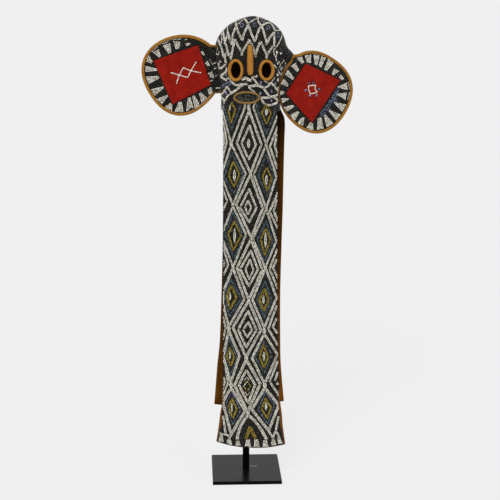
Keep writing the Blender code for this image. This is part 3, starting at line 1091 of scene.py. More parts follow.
@dataclass
class BeadWork:
    """All the beads of the mask, sewn one by one where there is room."""

    cell: float = 0.0036
    dice: random.Random = field(default_factory=lambda: random.Random(41))
    beads: dict[str, list[Bead]] = field(default_factory=dict)
    taken: dict[tuple[int, int, int], list[Vector]] = field(default_factory=dict)

    def spot(self, place: Vector) -> tuple[int, int, int]:
        """The cell of the ledger that a place is in."""
        return (int(place.x // self.cell), int(place.y // self.cell), int(place.z // self.cell))

    def free(self, place: Vector, room: float) -> bool:
        """Whether no bead is nearer to a place than this much room.

        Args:
            place: the place.
            room: how near another bead may be.

        Returns:
            Whether it is free.
        """
        i, j, k = self.spot(place)
        for di in (-1, 0, 1):
            for dj in (-1, 0, 1):
                for dk in (-1, 0, 1):
                    for other in self.taken.get((i + di, j + dj, k + dk), ()):
                        if (other - place).length_squared < room * room:
                            return False
        return True

    def pick(self, strand: Strand) -> int:
        """Draws the next bead's glass from a strand.

        Args:
            strand: the mix of glass.

        Returns:
            The number of the glass.
        """
        draw = self.dice.random()
        for glass, share in strand.value:
            draw -= share
            if draw < 0:
                return GLASSES.index(glass)
        return GLASSES.index(strand.value[0][0])

    def sew(self, part: str, centre: Vector, axis: Vector, size: Point, strand: Strand, room: float) -> bool:
        """Sews one bead if there is room.

        Args:
            part: the bead piece that it belongs to.
            centre: its middle.
            axis: the line of its hole.
            size: its length and width.
            strand: the mix it is drawn from.
            room: how near another bead may be.

        Returns:
            Whether it was sewn.
        """
        if not self.free(centre, room):
            return False
        self.taken.setdefault(self.spot(centre), []).append(centre)
        tone = (int(self.dice.random() * TONES) + 0.5) / TONES
        length = size[0] * self.dice.uniform(0.9, 1.02)
        width = size[1] * self.dice.uniform(0.92, 1.04)
        bead = Bead(centre, axis.normalized(), length, width, self.pick(strand), tone)
        self.beads.setdefault(part, []).append(bead)
        return True

    def pieces(self) -> list[Piece]:
        """Makes the bead pieces, one mesh for each part."""
        return [self.stamp(part, beads) for part, beads in sorted(self.beads.items())]

    def pattern(self) -> tuple[np.ndarray, list[list[int]]]:
        """The bead that is stamped: a small barrel with dimpled ends, along Z.

        Returns:
            Its points in shares of width and length, and its faces.
        """
        net = bmesh.new()
        bmesh.ops.create_uvsphere(net, u_segments=6, v_segments=3, radius=1.0)
        for vert in net.verts:
            flat = Vector((vert.co.x, vert.co.y))
            if flat.length < 0.01:
                vert.co = Vector((0, 0, math.copysign(0.24, vert.co.z)))
            else:
                flat = flat.normalized() * 0.5
                vert.co = Vector((flat.x, flat.y, math.copysign(0.34, vert.co.z)))
        points = np.array([vert.co[:] for vert in net.verts])
        faces = [[vert.index for vert in face.verts] for face in net.faces]
        net.free()
        return points, faces

    def stamp(self, part: str, beads: list[Bead]) -> Piece:
        """Stamps the beads of one part into one mesh.

        Args:
            part: the piece's name.
            beads: its beads.

        Returns:
            The piece.
        """
        points, faces = self.pattern()
        count = len(beads)
        axis = np.array([bead.axis[:] for bead in beads])
        spare = np.where(np.abs(axis[:, 2:3]) < 0.9, [[0.0, 0.0, 1.0]], [[1.0, 0.0, 0.0]])
        side = np.cross(axis, spare)
        side /= np.linalg.norm(side, axis=1, keepdims=True)
        other = np.cross(axis, side)
        length = np.array([bead.length for bead in beads])[:, None, None]
        width = np.array([bead.width for bead in beads])[:, None, None]
        centre = np.array([bead.centre[:] for bead in beads])[:, None, :]
        spread = points[None, :, 0:1] * width * side[:, None, :] + points[None, :, 1:2] * width * other[:, None, :]
        places = (centre + spread + points[None, :, 2:3] * length * axis[:, None, :]).reshape(-1, 3)
        sizes = np.array([len(face) for face in faces])
        corners = np.concatenate([np.array(face) for face in faces])
        loops = (corners[None, :] + np.arange(count)[:, None] * len(points)).ravel()
        starts = np.concatenate([[0], np.cumsum(sizes)[:-1]])
        starts = (starts[None, :] + np.arange(count)[:, None] * len(corners)).ravel()
        mesh = bpy.data.meshes.new(part)
        mesh.vertices.add(len(places))
        mesh.vertices.foreach_set("co", places.astype(np.float32).ravel())
        mesh.loops.add(len(loops))
        mesh.loops.foreach_set("vertex_index", loops.astype(np.int32))
        mesh.polygons.add(len(starts))
        mesh.polygons.foreach_set("loop_start", starts.astype(np.int32))
        used = sorted({bead.glass for bead in beads})
        glass = np.array([used.index(bead.glass) for bead in beads], dtype=np.int32)
        mesh.polygons.foreach_set("material_index", np.repeat(glass, len(faces)))
        mesh.polygons.foreach_set("use_smooth", np.ones(len(starts), dtype=bool))
        tone = np.array([bead.tone for bead in beads])
        shade = mesh.attributes.new("tone", "FLOAT", "POINT")
        shade.data.foreach_set("value", np.repeat(tone, len(points)).astype(np.float32))
        self.lay_map(mesh, faces, beads)
        mesh.update(calc_edges=True)
        mesh.validate()
        piece = new_object(part, mesh)
        for number in used:
            mesh.materials.append(GLASSES[number].value.material())
        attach(piece, BODY)
        log.info("%s: %d beads", part, count)
        return piece

    def lay_map(self, mesh: bpy.types.Mesh, faces: list[list[int]], beads: list[Bead]) -> None:
        """Gives every bead a place in the map, in the cell of its glass and tone.

        Args:
            mesh: the mesh of the beads.
            faces: the faces of one bead.
            beads: the beads in order.
        """
        flat = []
        for number, face in enumerate(faces):
            column, row = number % 6, number // 6
            turns = len(face)
            for corner in range(turns):
                angle = 2 * math.pi * (corner + 0.5) / turns
                flat.append(((column + 0.5 + 0.35 * math.cos(angle)) / 6, (row + 0.5 + 0.35 * math.sin(angle)) / 3))
        flat = np.array(flat)[None, :, :] * 0.8 + 0.1
        corner = np.array([[int(bead.tone * TONES), bead.glass] for bead in beads], dtype=float)
        layer = mesh.uv_layers.new(name="OFBake")
        layer.data.foreach_set("uv", ((flat + corner[:, None, :]) / TONES).astype(np.float32).ravel())


@dataclass
class Ground:
    """A cloth face that beads are sewn on, seen from the front."""

    work: BeadWork
    tree: BVHTree
    part: Callable[[Vector], str]
    allowed: Callable[[Vector], bool]
    lift: float = BEAD_LIFT

    def under(self, x: float, z: float) -> Place | None:
        """The cloth behind a spot of the front view, and the way out of it.

        Args:
            x: how far to the right.
            z: the height.

        Returns:
            The place and the way out.
        """
        place, normal, _, _ = self.tree.ray_cast(Vector((x, -1.0, z)), Vector((0, 1, 0)))
        if place is None:
            return self.close(Vector((x, 0.0, z)))
        return place, normal if normal.y < 0 else -normal

    def close(self, place: Vector) -> Place:
        """The nearest spot of the cloth, and the way out of it."""
        spot, normal, _, _ = self.tree.find_nearest(place)
        return spot, normal

    def line(self, anchors: Sequence[Point], smooth: bool = False) -> list[Place]:
        """Lays a line on the cloth.

        Args:
            anchors: its corners in the front view, in millimetres.
            smooth: whether its corners are rounded.

        Returns:
            Close points along it with the way out of the cloth.
        """
        corners = [(x * MM, z * MM) for x, z in anchors]
        for _ in range(2 if smooth else 0):
            rounder = [corners[0]]
            for (x0, z0), (x1, z1) in zip(corners, corners[1:]):
                rounder.append((0.75 * x0 + 0.25 * x1, 0.75 * z0 + 0.25 * z1))
                rounder.append((0.25 * x0 + 0.75 * x1, 0.25 * z0 + 0.75 * z1))
            rounder.append(corners[-1])
            corners = rounder
        places = []
        for (x0, z0), (x1, z1) in zip(corners, corners[1:]):
            steps = max(1, math.ceil(math.hypot(x1 - x0, z1 - z0) / 0.0012))
            for step in range(steps + 1):
                share = step / steps
                places.append(self.under(x0 + (x1 - x0) * share, z0 + (z1 - z0) * share))
        return places

    def resample(self, places: Sequence[Place], pitch: float) -> list[tuple[Vector, Vector, Vector]]:
        """Evenly spaced spots along a line: place, way out and way along.

        Args:
            places: points along the line.
            pitch: how far apart the spots are.

        Returns:
            The three of each spot.
        """
        spots = []
        total = sum((b[0] - a[0]).length for a, b in zip(places, places[1:]))
        count = max(1, round(total / pitch))
        gap = total / count
        reach = gap / 2
        walked = 0.0
        for (a, normal), (b, _) in zip(places, places[1:]):
            step = (b - a).length
            while step > 0 and reach <= walked + step:
                along = (b - a) / step
                spots.append((a + along * (reach - walked), normal, along))
                reach += gap
            walked += step
        return spots

    def put(self, spot: Vector, normal: Vector, axis: Vector, size: Point, strand: Strand, room: float) -> bool:
        """Sews a bead on the cloth at a spot, if that is allowed there.

        Args:
            spot: the spot on the cloth.
            normal: the way out of the cloth.
            axis: the line of the bead's hole.
            size: the bead's length and width.
            strand: the mix of glass.
            room: how near another bead may be.

        Returns:
            Whether a bead was sewn.
        """
        if not self.allowed(spot):
            return False
        centre = spot + normal * self.lift
        return self.work.sew(self.part(spot), centre, axis, size, strand, room)

    def row(
        self, places: Sequence[Place], strand: Strand, width: float, across: int, offset: float = 0.0,
        room: float = 0.0027,
    ) -> None:
        """Sews a stroke of beads side by side across a line.

        Args:
            places: the line on the cloth.
            strand: the mix of glass.
            width: the stroke's width.
            across: how many beads make up the width; 0 lays single beads along the line.
            offset: how far to the side of the line the stroke lies.
            room: how near other beads may be.
        """
        pitch = BEAD_RUN if across == 0 else 0.0036
        for place, normal, along in self.resample(places, pitch):
            sideways = normal.cross(along).normalized()
            middle = place + sideways * offset
            if offset:
                middle, normal = self.close(middle)
            if across == 0:
                self.put(middle, normal, along, LINE_BEAD, strand, room)
                continue
            length = width / across
            for number in range(across):
                spot = middle + sideways * (number - (across - 1) / 2) * length
                self.put(spot, normal, sideways, (length, 0.0033), strand, room)

    def stroke(self, anchors: Sequence[Point], strand: Strand, width: float, across: int, smooth: bool = False) -> None:
        """Sews a stroke along a line given in the front view."""
        self.row(self.line(anchors, smooth), strand, width, across)

    def outline(self, anchors: Sequence[Point], strand: Strand, width: float) -> None:
        """Sews a single dark row on both sides of a line's stroke.

        Args:
            anchors: the line's corners.
            strand: the mix of glass.
            width: the width of the stroke.
        """
        places = self.line(anchors)
        for side in (-1, 1):
            self.row(places, strand, 0.0, 0, offset=side * (width / 2 + 0.0016), room=0.0026)

    def sides(self, corners: Sequence[Point], width: float, closed: bool = True) -> list[list[Point]]:
        """The sides of a lozenge, each a little longer so that its corners are full.

        Args:
            corners: its corners in order.
            width: the width of the stroke, in metres.
            closed: whether the last corner joins the first.

        Returns:
            Each side's two ends.
        """
        ends = list(corners[1:]) + ([corners[0]] if closed else [])
        reach = 0.28 * width / MM
        lines = []
        for (x0, z0), (x1, z1) in zip(corners, ends):
            run = math.hypot(x1 - x0, z1 - z0)
            dx, dz = (x1 - x0) / run * reach, (z1 - z0) / run * reach
            lines.append([(x0 - dx, z0 - dz), (x1 + dx, z1 + dz)])
        return lines

    def patch(self, corners: Sequence[Point], strand: Strand) -> None:
        """Fills a four-sided patch with rows of beads, from its first side to its third.

        Args:
            corners: its four corners, in millimetres.
            strand: the mix of glass.
        """
        a, b, c, d = (Vector(corner) * MM for corner in corners)
        rows = max(1, round(((a + b) / 2 - (c + d) / 2).length / BEAD_ROW))
        for number in range(rows):
            share = (number + 0.5) / rows
            left, right = a.lerp(d, share), b.lerp(c, share)
            places = [self.under(*left.lerp(right, step / 8)) for step in range(9)]
            count = max(1, round((right - left).length / BEAD_RUN))
            length = (right - left).length / count
            for place, normal, along in self.resample(places, length):
                self.put(place, normal, along, (length, BEAD_ROW), strand, 0.0026)

    def lens(self, x: float, z: float, half_width: float, half_height: float, strand: Strand) -> None:
        """Fills a small upright lens with rows of beads.

        Args:
            x: its middle's x, in millimetres.
            z: its middle's height, in millimetres.
            half_width: half its width.
            half_height: half its height.
            strand: the mix of glass.
        """
        rows = max(2, round(2 * half_height / 3.4))
        for number in range(rows):
            up = (number + 0.5) / rows * 2 - 1
            half = half_width * (1 - up * up) ** 0.6
            height = z + up * half_height
            count = max(1, round(2 * half / 4.4))
            places = self.line([(x - half, height), (x + half, height)])
            for place, normal, along in self.resample(places, 2 * half * MM / count):
                self.put(place, normal, along, (max(2 * half * MM / count, 0.003), BEAD_ROW), strand, 0.0024)


# ---- the patterns, in millimetres


def points(*numbers: float) -> tuple[Point, ...]:
    """Pairs a plain row of numbers into points."""
    return tuple(zip(numbers[::2], numbers[1::2]))


def fours(*numbers: float) -> tuple[tuple[Point, ...], ...]:
    """Groups a plain row of numbers into four-sided patches, eight numbers each."""
    return tuple(points(*numbers[start : start + 8]) for start in range(0, len(numbers), 8))


@dataclass(frozen=True)
class Cell:
    """A lozenge of the trunk: its pale outline, what lies inside it and its middle."""

    outline: tuple[Point, ...]
    rings: tuple[tuple[Strand, tuple[Point, ...]], ...]
    middle: tuple[float, float, float, float] | None = None


def cell(outline: Sequence[float], *rings: tuple, middle: tuple | None = None) -> Cell:
    """Reads a lozenge from plain rows of numbers, where a ring's row starts with its strand."""
    return Cell(points(*outline), tuple((strand, points(*row)) for strand, *row in rings), middle)


PALE, BLUE, VIOLET, YELLOW, DARK = Strand.PALE, Strand.BLUE, Strand.VIOLET, Strand.YELLOW, Strand.DARK
PINK = Strand.PINK
MIDDLE_CELLS = (
    cell(
        (-0.3, 1240, 38.5, 1133.7, 4.8, 1042.5, -38.1, 1139),
        (PALE, 1.2, 1193, 21.2, 1131.4, -0.9, 1086.7, -24.1, 1137.6), middle=(-1.6, 1136.9, 5.6, 15),
    ),
    cell(
        (4.8, 1039.3, 44.2, 930.6, 7.4, 837.4, -39.7, 943.6), (PALE, 0.3, 993.3, 24.3, 932.4, 0.8, 885.9, -27, 934.1),
        (PALE, -2.7, 956.6, 7.7, 934.1, -2.5, 911.7, -12.1, 935.8),
    ),
    cell(
        (7.4, 832.5, 44.1, 732.5, 1.3, 632.4, -36.7, 737.8),
        (PALE, 6.9, 795.1, 30.4, 732.8, 1.1, 677.1, -26.3, 734.6),
        (PALE, 4.6, 765.8, 16.3, 731.3, 1.8, 700.1, -9.6, 734.7),
    ),
    cell(
        (0.8, 630.7, 41.5, 531.6, -6.3, 440.9, -49, 540.3),
        (PALE, -0.9, 595.8, 26.9, 531.9, -6.8, 473.3, -32.1, 533.8),
        (PALE, 0.1, 559.1, 12.3, 530.5, -4.1, 507.1, -16.8, 532.3),
    ),
    cell(
        (-5.8, 432.3, 40, 348.5, -0.1, 252.3, -43.3, 344.6), (PALE, -5.7, 396.2, 23.6, 345.6, 1, 282.5, -29.1, 345.9),
        (Strand.LIME, -2.6, 358.5, 9.4, 341.6, -1.9, 325, -14.1, 341.7),
    ),
)
SIDE_CELLS = (
    cell(
        (-15, 1266, -13.2, 1250.8, -55.7, 1136.2, -84.8, 1252.3),
        (BLUE, -24, 1262, -30.5, 1246, -54.1, 1178.3, -76, 1246, -77, 1262),
        (YELLOW, -53, 1263, -42.5, 1241, -55.2, 1200.7, -63.5, 1236), middle=(-58.5, 1246.2, 3, 9),
    ),
    cell(
        (17, 1266, 13.7, 1247.8, 53.2, 1135.1, 88.1, 1221.9),
        (BLUE, 24, 1262, 25.4, 1243.1, 53.5, 1166.3, 78, 1227.4, 80, 1250),
        (YELLOW, 51.7, 1257.1, 67.9, 1229.5, 54.1, 1198.2, 38.5, 1232.5), middle=(53.1, 1234.6, 5, 11),
    ),
    cell(
        (-54.9, 1134.7, -10.2, 1042.5, -49.9, 941.8, -86.3, 1033.4),
        (BLUE, -54.1, 1106.6, -18, 1037.7, -46.8, 977, -77.4, 1031.7),
        (YELLOW, -49.4, 1080, -29, 1039.2, -46.9, 999.3, -63.4, 1035.5), middle=(-45.4, 1035.9, 5, 18),
    ),
    cell(
        (53.3, 1131.9, 86.3, 1031.8, 55.3, 930.4, 15, 1039.3),
        (BLUE, 53.9, 1102.1, 79.1, 1028.9, 58.2, 965.7, 28.4, 1037.7),
        (YELLOW, 55.8, 1061.1, 72, 1025.9, 58, 986.4, 42.6, 1032.8), middle=(55.4, 1021.5, 5, 15),
    ),
    cell(
        (-49.9, 938.6, -8.5, 847.2, -48.7, 739.3, -86.3, 841.3), (BLUE, -49.8, 918, -15.8, 839, -47.2, 770, -75, 846),
        (YELLOW, -45.8, 888.9, -23.6, 843.9, -48.8, 794.9, -64.7, 848.2), middle=(-44.5, 842, 4.5, 24),
    ),
    cell(
        (55.3, 928.8, 88.3, 824.5, 53.7, 737.3, 13.8, 832.5),
        (BLUE, 54.8, 888.6, 77, 824.9, 51.9, 760.3, 27.4, 830.7),
        (YELLOW, 55, 866, 69.8, 828.3, 51.7, 779.9, 37.7, 832.2), middle=(53.7, 828.7, 4.5, 24),
    ),
    cell(
        (-49.5, 737.6, -12.4, 635.7, -62.7, 541.7, -86.3, 643.2),
        (BLUE, -56.6, 701.4, -22.8, 637.3, -59.6, 576.9, -76.5, 644.7),
        (YELLOW, -54.9, 680, -38, 638.9, -58.8, 602.8, -68.5, 646.6), middle=(-58.1, 643.5, 3.5, 13),
    ),
    cell(
        (54.5, 737.2, 91, 638.6, 52, 538.1, 13.4, 632.3), (BLUE, 52.4, 692.9, 74.7, 634.2, 51.7, 575, 27, 633.8),
        (YELLOW, 51.8, 668.1, 65, 631.2, 50.7, 596.7, 35.1, 632), middle=(49.2, 633.3, 4.5, 14),
    ),
    cell(
        (-62.7, 530, -27.8, 444.9, -55.3, 353, -80.4, 441.7),
        (BLUE, -61.1, 504.8, -35.9, 438.5, -56, 380.7, -74.3, 444),
        (YELLOW, -58.6, 471.1, -45, 440.5, -56, 410.5, -69.3, 442.1), middle=(-58.5, 446.6, 3.5, 14),
    ),
    cell(
        (52.2, 517.9, 95.6, 446.8, 54.7, 348, 12.8, 438.5), (BLUE, 51.1, 492.7, 78.1, 447.3, 54, 384.4, 23, 440.5),
        (YELLOW, 49.2, 480.9, 65.9, 439.3, 51.8, 404.7, 37.3, 440.2), middle=(51.5, 441.9, 4.5, 15),
    ),
    cell(
        (-54.9, 335.8, -8.7, 257.8, -53.6, 173.6, -81.3, 285.6),
        (VIOLET, -51.8, 318.8, -23.1, 258.8, -48.5, 208.6, -71.1, 279.5),
        (YELLOW, -51.8, 298.3, -35.7, 263, -48.6, 230.3, -62.9, 266.8), middle=(-51.7, 267, 3.5, 15),
    ),
    cell(
        (55.5, 335.1, 101.5, 272.6, 69.1, 185.2, 13.8, 260.8),
        (VIOLET, 56.6, 320, 88, 273.2, 65.8, 209.3, 34.4, 260.4),
        (YELLOW, 57.8, 298.5, 76.7, 265.2, 63.5, 229, 45.7, 262.2), middle=(60, 270, 4.5, 14),
    ),
)
OPEN_CELLS = SIDE_CELLS[:2]
PINK_TIPS = tuple(points(*row) for row in (
    (-11, 361, -3.5, 374, 4, 361), (-9, 322, -1.5, 309, 6, 322),
))
JOINTS = points(
    -1, 1244, 4.8, 1041, 7.4, 835, 1, 631.5, -6, 436.6, 0, 249, -55.3, 1135.5, 53.2, 1133.5, -49.9, 940.2,
    55.3, 929.6, -49.1, 738.5, 54.1, 737.2, -62.7, 536, 52.1, 528, -55.1, 344, 55.1, 341.5,
)
TIPS = points(-59.6, 579, 51.7, 577, -61.1, 502, -56, 384, 51.1, 490, 54, 388)
HEM_ARCH = tuple(points(*row) for row in (
    (-1.9, 239.5, -13.3, 222.2, -23.7, 201.9, -30.7, 181.5, -34.5, 156),
    (3, 239.4, 18.4, 227.6, 33.9, 207, 47.3, 186.3, 58.5, 164.2, 63, 155),
))
EDGE_STROKES = tuple(points(*row) for row in (
    (87.9, 1185.1, 64.8, 1127, 88.5, 1058.6), (86.3, 1165.1, 80, 1129.7, 89.1, 1094.8),
    (-79.8, 1209.3, -73.3, 1170.8, -68.8, 1140.3, -76.5, 1110.2, -80.5, 1088.1),
    (-78.2, 1170.2, -76.7, 1139.5, -79.3, 1117.8), (90.8, 979.2, 65.7, 920.6, 91.9, 866.6),
    (89.3, 963.3, 79.3, 921.9, 91.6, 890.9), (-80.6, 988.9, -68, 954.3, -79.8, 925.1),
    (91, 796.7, 67.4, 733.6, 93.9, 670), (88.9, 762.5, 78.6, 736.6, 93.6, 703.1),
    (-82.3, 815.3, -64.6, 747.2, -83.1, 705.9), (-83.9, 777.9, -77.3, 750.1, -84.7, 725.6),
    (91.2, 610.3, 65.1, 534.3, 95.9, 479), (90.9, 566.8, 79.7, 540.5, 93.8, 519.7),
    (-82.2, 580.1, -72.4, 538.1, -81.2, 497.5), (96.9, 423, 70.7, 355.9), (74.9, 349.3, 104.3, 302.7),
    (96.2, 384.6, 89.2, 359.3), (95.5, 349.3, 97.7, 343.8), (-77.3, 437.6, -65.1, 350.6, -82.4, 304.9),
    (-76.7, 369.5, -75.3, 352.4, -81.4, 330.8), (-80.3, 235.9, -72.1, 175.3), (100.9, 231.4, 93, 186),
    (-53.6, 173.6, -59.7, 160.4), (69.1, 185.2, 83.9, 158.1), (93, 186, 83.9, 160.3), (95.2, 179.3, 104.7, 163.5),
    (-92.6, 179.2, -84.4, 170.5), (-80.3, 172.8, -67.9, 174.3), (-65.9, 171.1, -55.6, 164.8),
))
HEM_YELLOW = points(-5.2, 161, 7, 200.2, 25.8, 160.6)
HEM_WEDGES = fours(
    -92, 168.3, -82.5, 168.3, -77.8, 146, -96, 149, -66.5, 157, -56, 160.4, -50.4, 137.5, -71, 139,
    -37.5, 152, -26.5, 152, -21.5, 132, -41.3, 132, -4.5, 157, 7, 157, 12, 130, -9.8, 130.4,
    21.5, 157, 34, 157, 41.8, 129.5, 20.5, 130, 51.5, 152.5, 63.5, 152, 69.6, 129.5, 48.8, 130,
    79.5, 154.5, 90.5, 154, 96.6, 132.5, 76.5, 133.5, 96.5, 160, 107, 161.8, 117, 139, 101.8, 136,
)
# The edges of the field of beads at the trunk's hem: pairs of height and x.
BEAD_EDGE_LEFT = points(148.7, -101.9, 170.5, -96.7, 203.3, -86.4, 257.4, -83.4, 300.6, -82.4, 330, -84)
BEAD_EDGE_RIGHT = points(136.9, 121.5, 167.6, 117, 200.6, 108.5, 244.2, 104, 289.6, 102, 330, 103)
# The strokes of the head and the face: width, then the line's points.
WIDE, THIN, SLIM = 7.4, 4.6, 6.4
HEAD_STROKES = (
    (WIDE, -13.9, 1520, -3, 1502.3), (THIN, -3, 1502.3, 27, 1518.2), (THIN, -38.2, 1496, -15.6, 1513.8),
    (WIDE, -39.4, 1509, -38.4, 1492.4), (WIDE, -38.4, 1492.4, -32.3, 1474.9, -22.9, 1456),
    (WIDE, -3.3, 1498.8, -10, 1484.6, -17.8, 1470.4, -21.7, 1452.4),
    (WIDE, -2.6, 1500, 1.3, 1489.4, 4.5, 1475.2, 11.6, 1461, 16.4, 1449),
    (WIDE, 38.1, 1494.2, 30.9, 1487.1, 22.8, 1468.2, 15.7, 1449), (WIDE, 28.8, 1521, 28.5, 1509.5, 38.1, 1495.4),
    (WIDE, 38.1, 1494.2, 45.4, 1500.1, 57.4, 1504.6, 71.7, 1502, 80.3, 1481.9),
    (WIDE, 39.3, 1493, 45.4, 1475.3, 49.9, 1457.4, 53.6, 1440.5), (WIDE, 78.6, 1477.3, 61.3, 1460.9, 53, 1440.5),
    (THIN, 80.2, 1480.8, 108, 1482), (WIDE, 77.2, 1474.9, 76.5, 1453.5, 76.4, 1434.2),
    (THIN, 107, 1481, 100.7, 1459.8, 81.4, 1429.3, 74.3, 1424.6, 74.8, 1413.8, 81, 1402.9, 84.3, 1389.4),
    (THIN, 86.9, 1419.6, 82.3, 1404.1), (THIN, 93.8, 1414.2, 100.9, 1414),
    (WIDE, 17.5, 1403.2, 21.2, 1418.9, 27.4, 1437, 33.7, 1452.7, 38.6, 1440.6, 47.3, 1421.3, 52.5, 1410.4,
     52.5, 1398.9),
    (WIDE, 54.7, 1410.4, 63.6, 1424.7, 72.5, 1436.1),
    (WIDE, -23.1, 1407.8, -23.1, 1417.5, -14.4, 1430.8, -7, 1442.9, -0.6, 1456.2),
    (WIDE, -0.6, 1456.2, 5.3, 1443, 13.8, 1424.9, 18.7, 1404.4),
    (WIDE, -54.9, 1402.5, -52.3, 1420.7, -47.4, 1441.2, -43, 1456.9),
    (WIDE, -43, 1456.9, -36.4, 1440.2, -29.1, 1428.3, -24.3, 1416.3),
    (WIDE, -40.9, 1491.2, -49.5, 1469.9, -54.7, 1438.7), (WIDE, -64.9, 1476.4, -59.4, 1455.4, -54.7, 1438.7),
    (WIDE, -65.1, 1471.8, -71.5, 1452.6, -75.3, 1440.4), (THIN, -64, 1496, -64.9, 1476.4),
    (WIDE, -78.7, 1479.8, -77.2, 1466.5, -74, 1447.7, -66.9, 1428.7, -65.7, 1411.8, -57.3, 1402.4),
    (WIDE, -94.2, 1453.4, -86.2, 1435.1, -81.4, 1423.3, -80.3, 1405.2, -71.9, 1399.5),
    (THIN, -83, 1470.7, -82.4, 1452.1, -86.2, 1435.1),
    (THIN, -103.9, 1425.4, -97, 1434.3, -94.6, 1428.4, -100.7, 1409.5, -92.4, 1406.8, -91.1, 1417.8),
)
FACE_STROKES = (
    (WIDE, -73, 1414, -73.1, 1398.2, -71.3, 1382.5, -68.3, 1381.4),
    (WIDE, -60.9, 1413.2, -54.8, 1406.1, -56.1, 1394.6),
    (WIDE, -93, 1383.5, -91.7, 1365, -82.8, 1369.6, -71.9, 1378.8),
    (WIDE, -67.7, 1370.5, -70.1, 1358.1, -77.9, 1350.8, -86.6, 1342.7),
    (WIDE, -86.6, 1341, -77.2, 1335.6, -69.5, 1331.3), (9, -72.5, 1334.5, -68, 1329),
    (SLIM, -70.5, 1331.8, -60.4, 1342.3),
    (WIDE, -61.2, 1341.3, -56.2, 1332.6, -50.2, 1323.5, -44.3, 1318, -33.2, 1317.6, -23, 1320.4, -8.4, 1322.2),
    (WIDE, -53.5, 1292.4, -41.3, 1301.5, -25.4, 1315.3, -16, 1321), (SLIM, -8.4, 1322, -8, 1316.5),
    (SLIM, -67.4, 1311.8, -85.6, 1278.5), (SLIM, -85.6, 1278.5, -73.9, 1266), (SLIM, -73.9, 1266, -63.5, 1286),
    (SLIM, -63.5, 1286, -53.9, 1292), (SLIM, -53.9, 1292, -67.4, 1311.8),
    (SLIM, -74.7, 1266, -76.4, 1255, -78, 1240.8),
    (9.6, -25.2, 1333.8, -17, 1338.6, -10.5, 1339.6, -4.5, 1335.2, 6.1, 1331.8),
    (WIDE, 6.1, 1340.3, 16.4, 1342.8, 24.9, 1346.3), (SLIM, 9.5, 1341.1, 16.4, 1333.5, 21.6, 1325, 27.7, 1318.2),
    (8.4, -4.1, 1313, 7.9, 1314.8, 21.7, 1317.9, 33.7, 1314.8, 42.4, 1310.4),
    (WIDE, 42.4, 1310.4, 51.2, 1297.5, 61.9, 1283.6), (WIDE, 61.9, 1282, 65.4, 1281.4, 84.4, 1284.5, 89.5, 1287),
    (SLIM, 43.3, 1309.9, 52.8, 1312, 61.5, 1317.9, 66.4, 1326.2), (THIN, 46.1, 1330.9, 56.2, 1325.3, 62.9, 1320.9),
    (SLIM, 66.4, 1326.2, 75.8, 1314.8, 84.1, 1304.9, 88.9, 1299), (THIN, 66.4, 1326.2, 73, 1333.7, 78.3, 1340.3),
    (SLIM, -4.1, 1313, 4.5, 1306.2, 14.9, 1296, 21.9, 1289.1), (WIDE, 35.8, 1278.4, 47.9, 1279.4, 62.8, 1279.4),
    (SLIM, 35.8, 1278.4, 42.9, 1264.9, 48.5, 1259.4), (WIDE, 88.9, 1311.3, 90.6, 1288),
    (WIDE, 69.5, 1281.5, 80, 1278.5, 90.3, 1266.8, 82.9, 1260.2, 67.3, 1255.5, 54.6, 1255.8, 48.5, 1259.4),
    (THIN, 76.2, 1379.7, 84.8, 1368.3), (WIDE, 84.4, 1352.3, 89.1, 1344.7), (WIDE, 89.2, 1337.2, 88.7, 1327.4),
    (THIN, 93.8, 1348.6, 103.8, 1351.8, 110.2, 1354.3), (9.6, -1, 1240, -1.5, 1268),
)
HEAD_RINGS = points(
    -30.1, 1513.9, 7.5, 1517.2, -21.7, 1497.6, 18.1, 1499.1, -55.4, 1497.6, 46.4, 1512.5, 59.1, 1490.9, 85.6, 1492.2,
    88.7, 1467.5,
)
BLUE_CHEEK = points(
    -82.3, 1309.9, -78.3, 1317.6, -69.1, 1322.8, -59, 1325.2, -54.8, 1321.9, -59, 1315.7, -69.1, 1313, -82.3, 1309.9,
)
BLUE_SPOTS = points(
    35.4, 1325, 68.8, 1297.1, 33.9, 1292.5, 68.2, 1270.4, 99.7, 1374, 89.5, 1360.7, -70.5, 1347.3, -70.3, 1292.2,
    79.5, 1321.8,
)
PALE_SPOTS = points(
    -9, 1341, -8.5, 1336.5, -7.5, 1331.5, -4.5, 1319.8, 83.2, 1418.5, 97.2, 1413.3, 91, 1388, 86.8, 1383, 95.8, 1381,
    101, 1386, 106.2, 1391.1, 112.1, 1383.8, 94.2, 1374.1, 101.9, 1370.1, 83.6, 1369.3, 98.4, 1365, 93, 1355,
    83.8, 1350.5, 99, 1345.8, 113.4, 1374.3, -103.9, 1379.4, -87.6, 1387.6, -91.2, 1380, -104, 1362, -101, 1338,
)


# ---- sub-assemblies


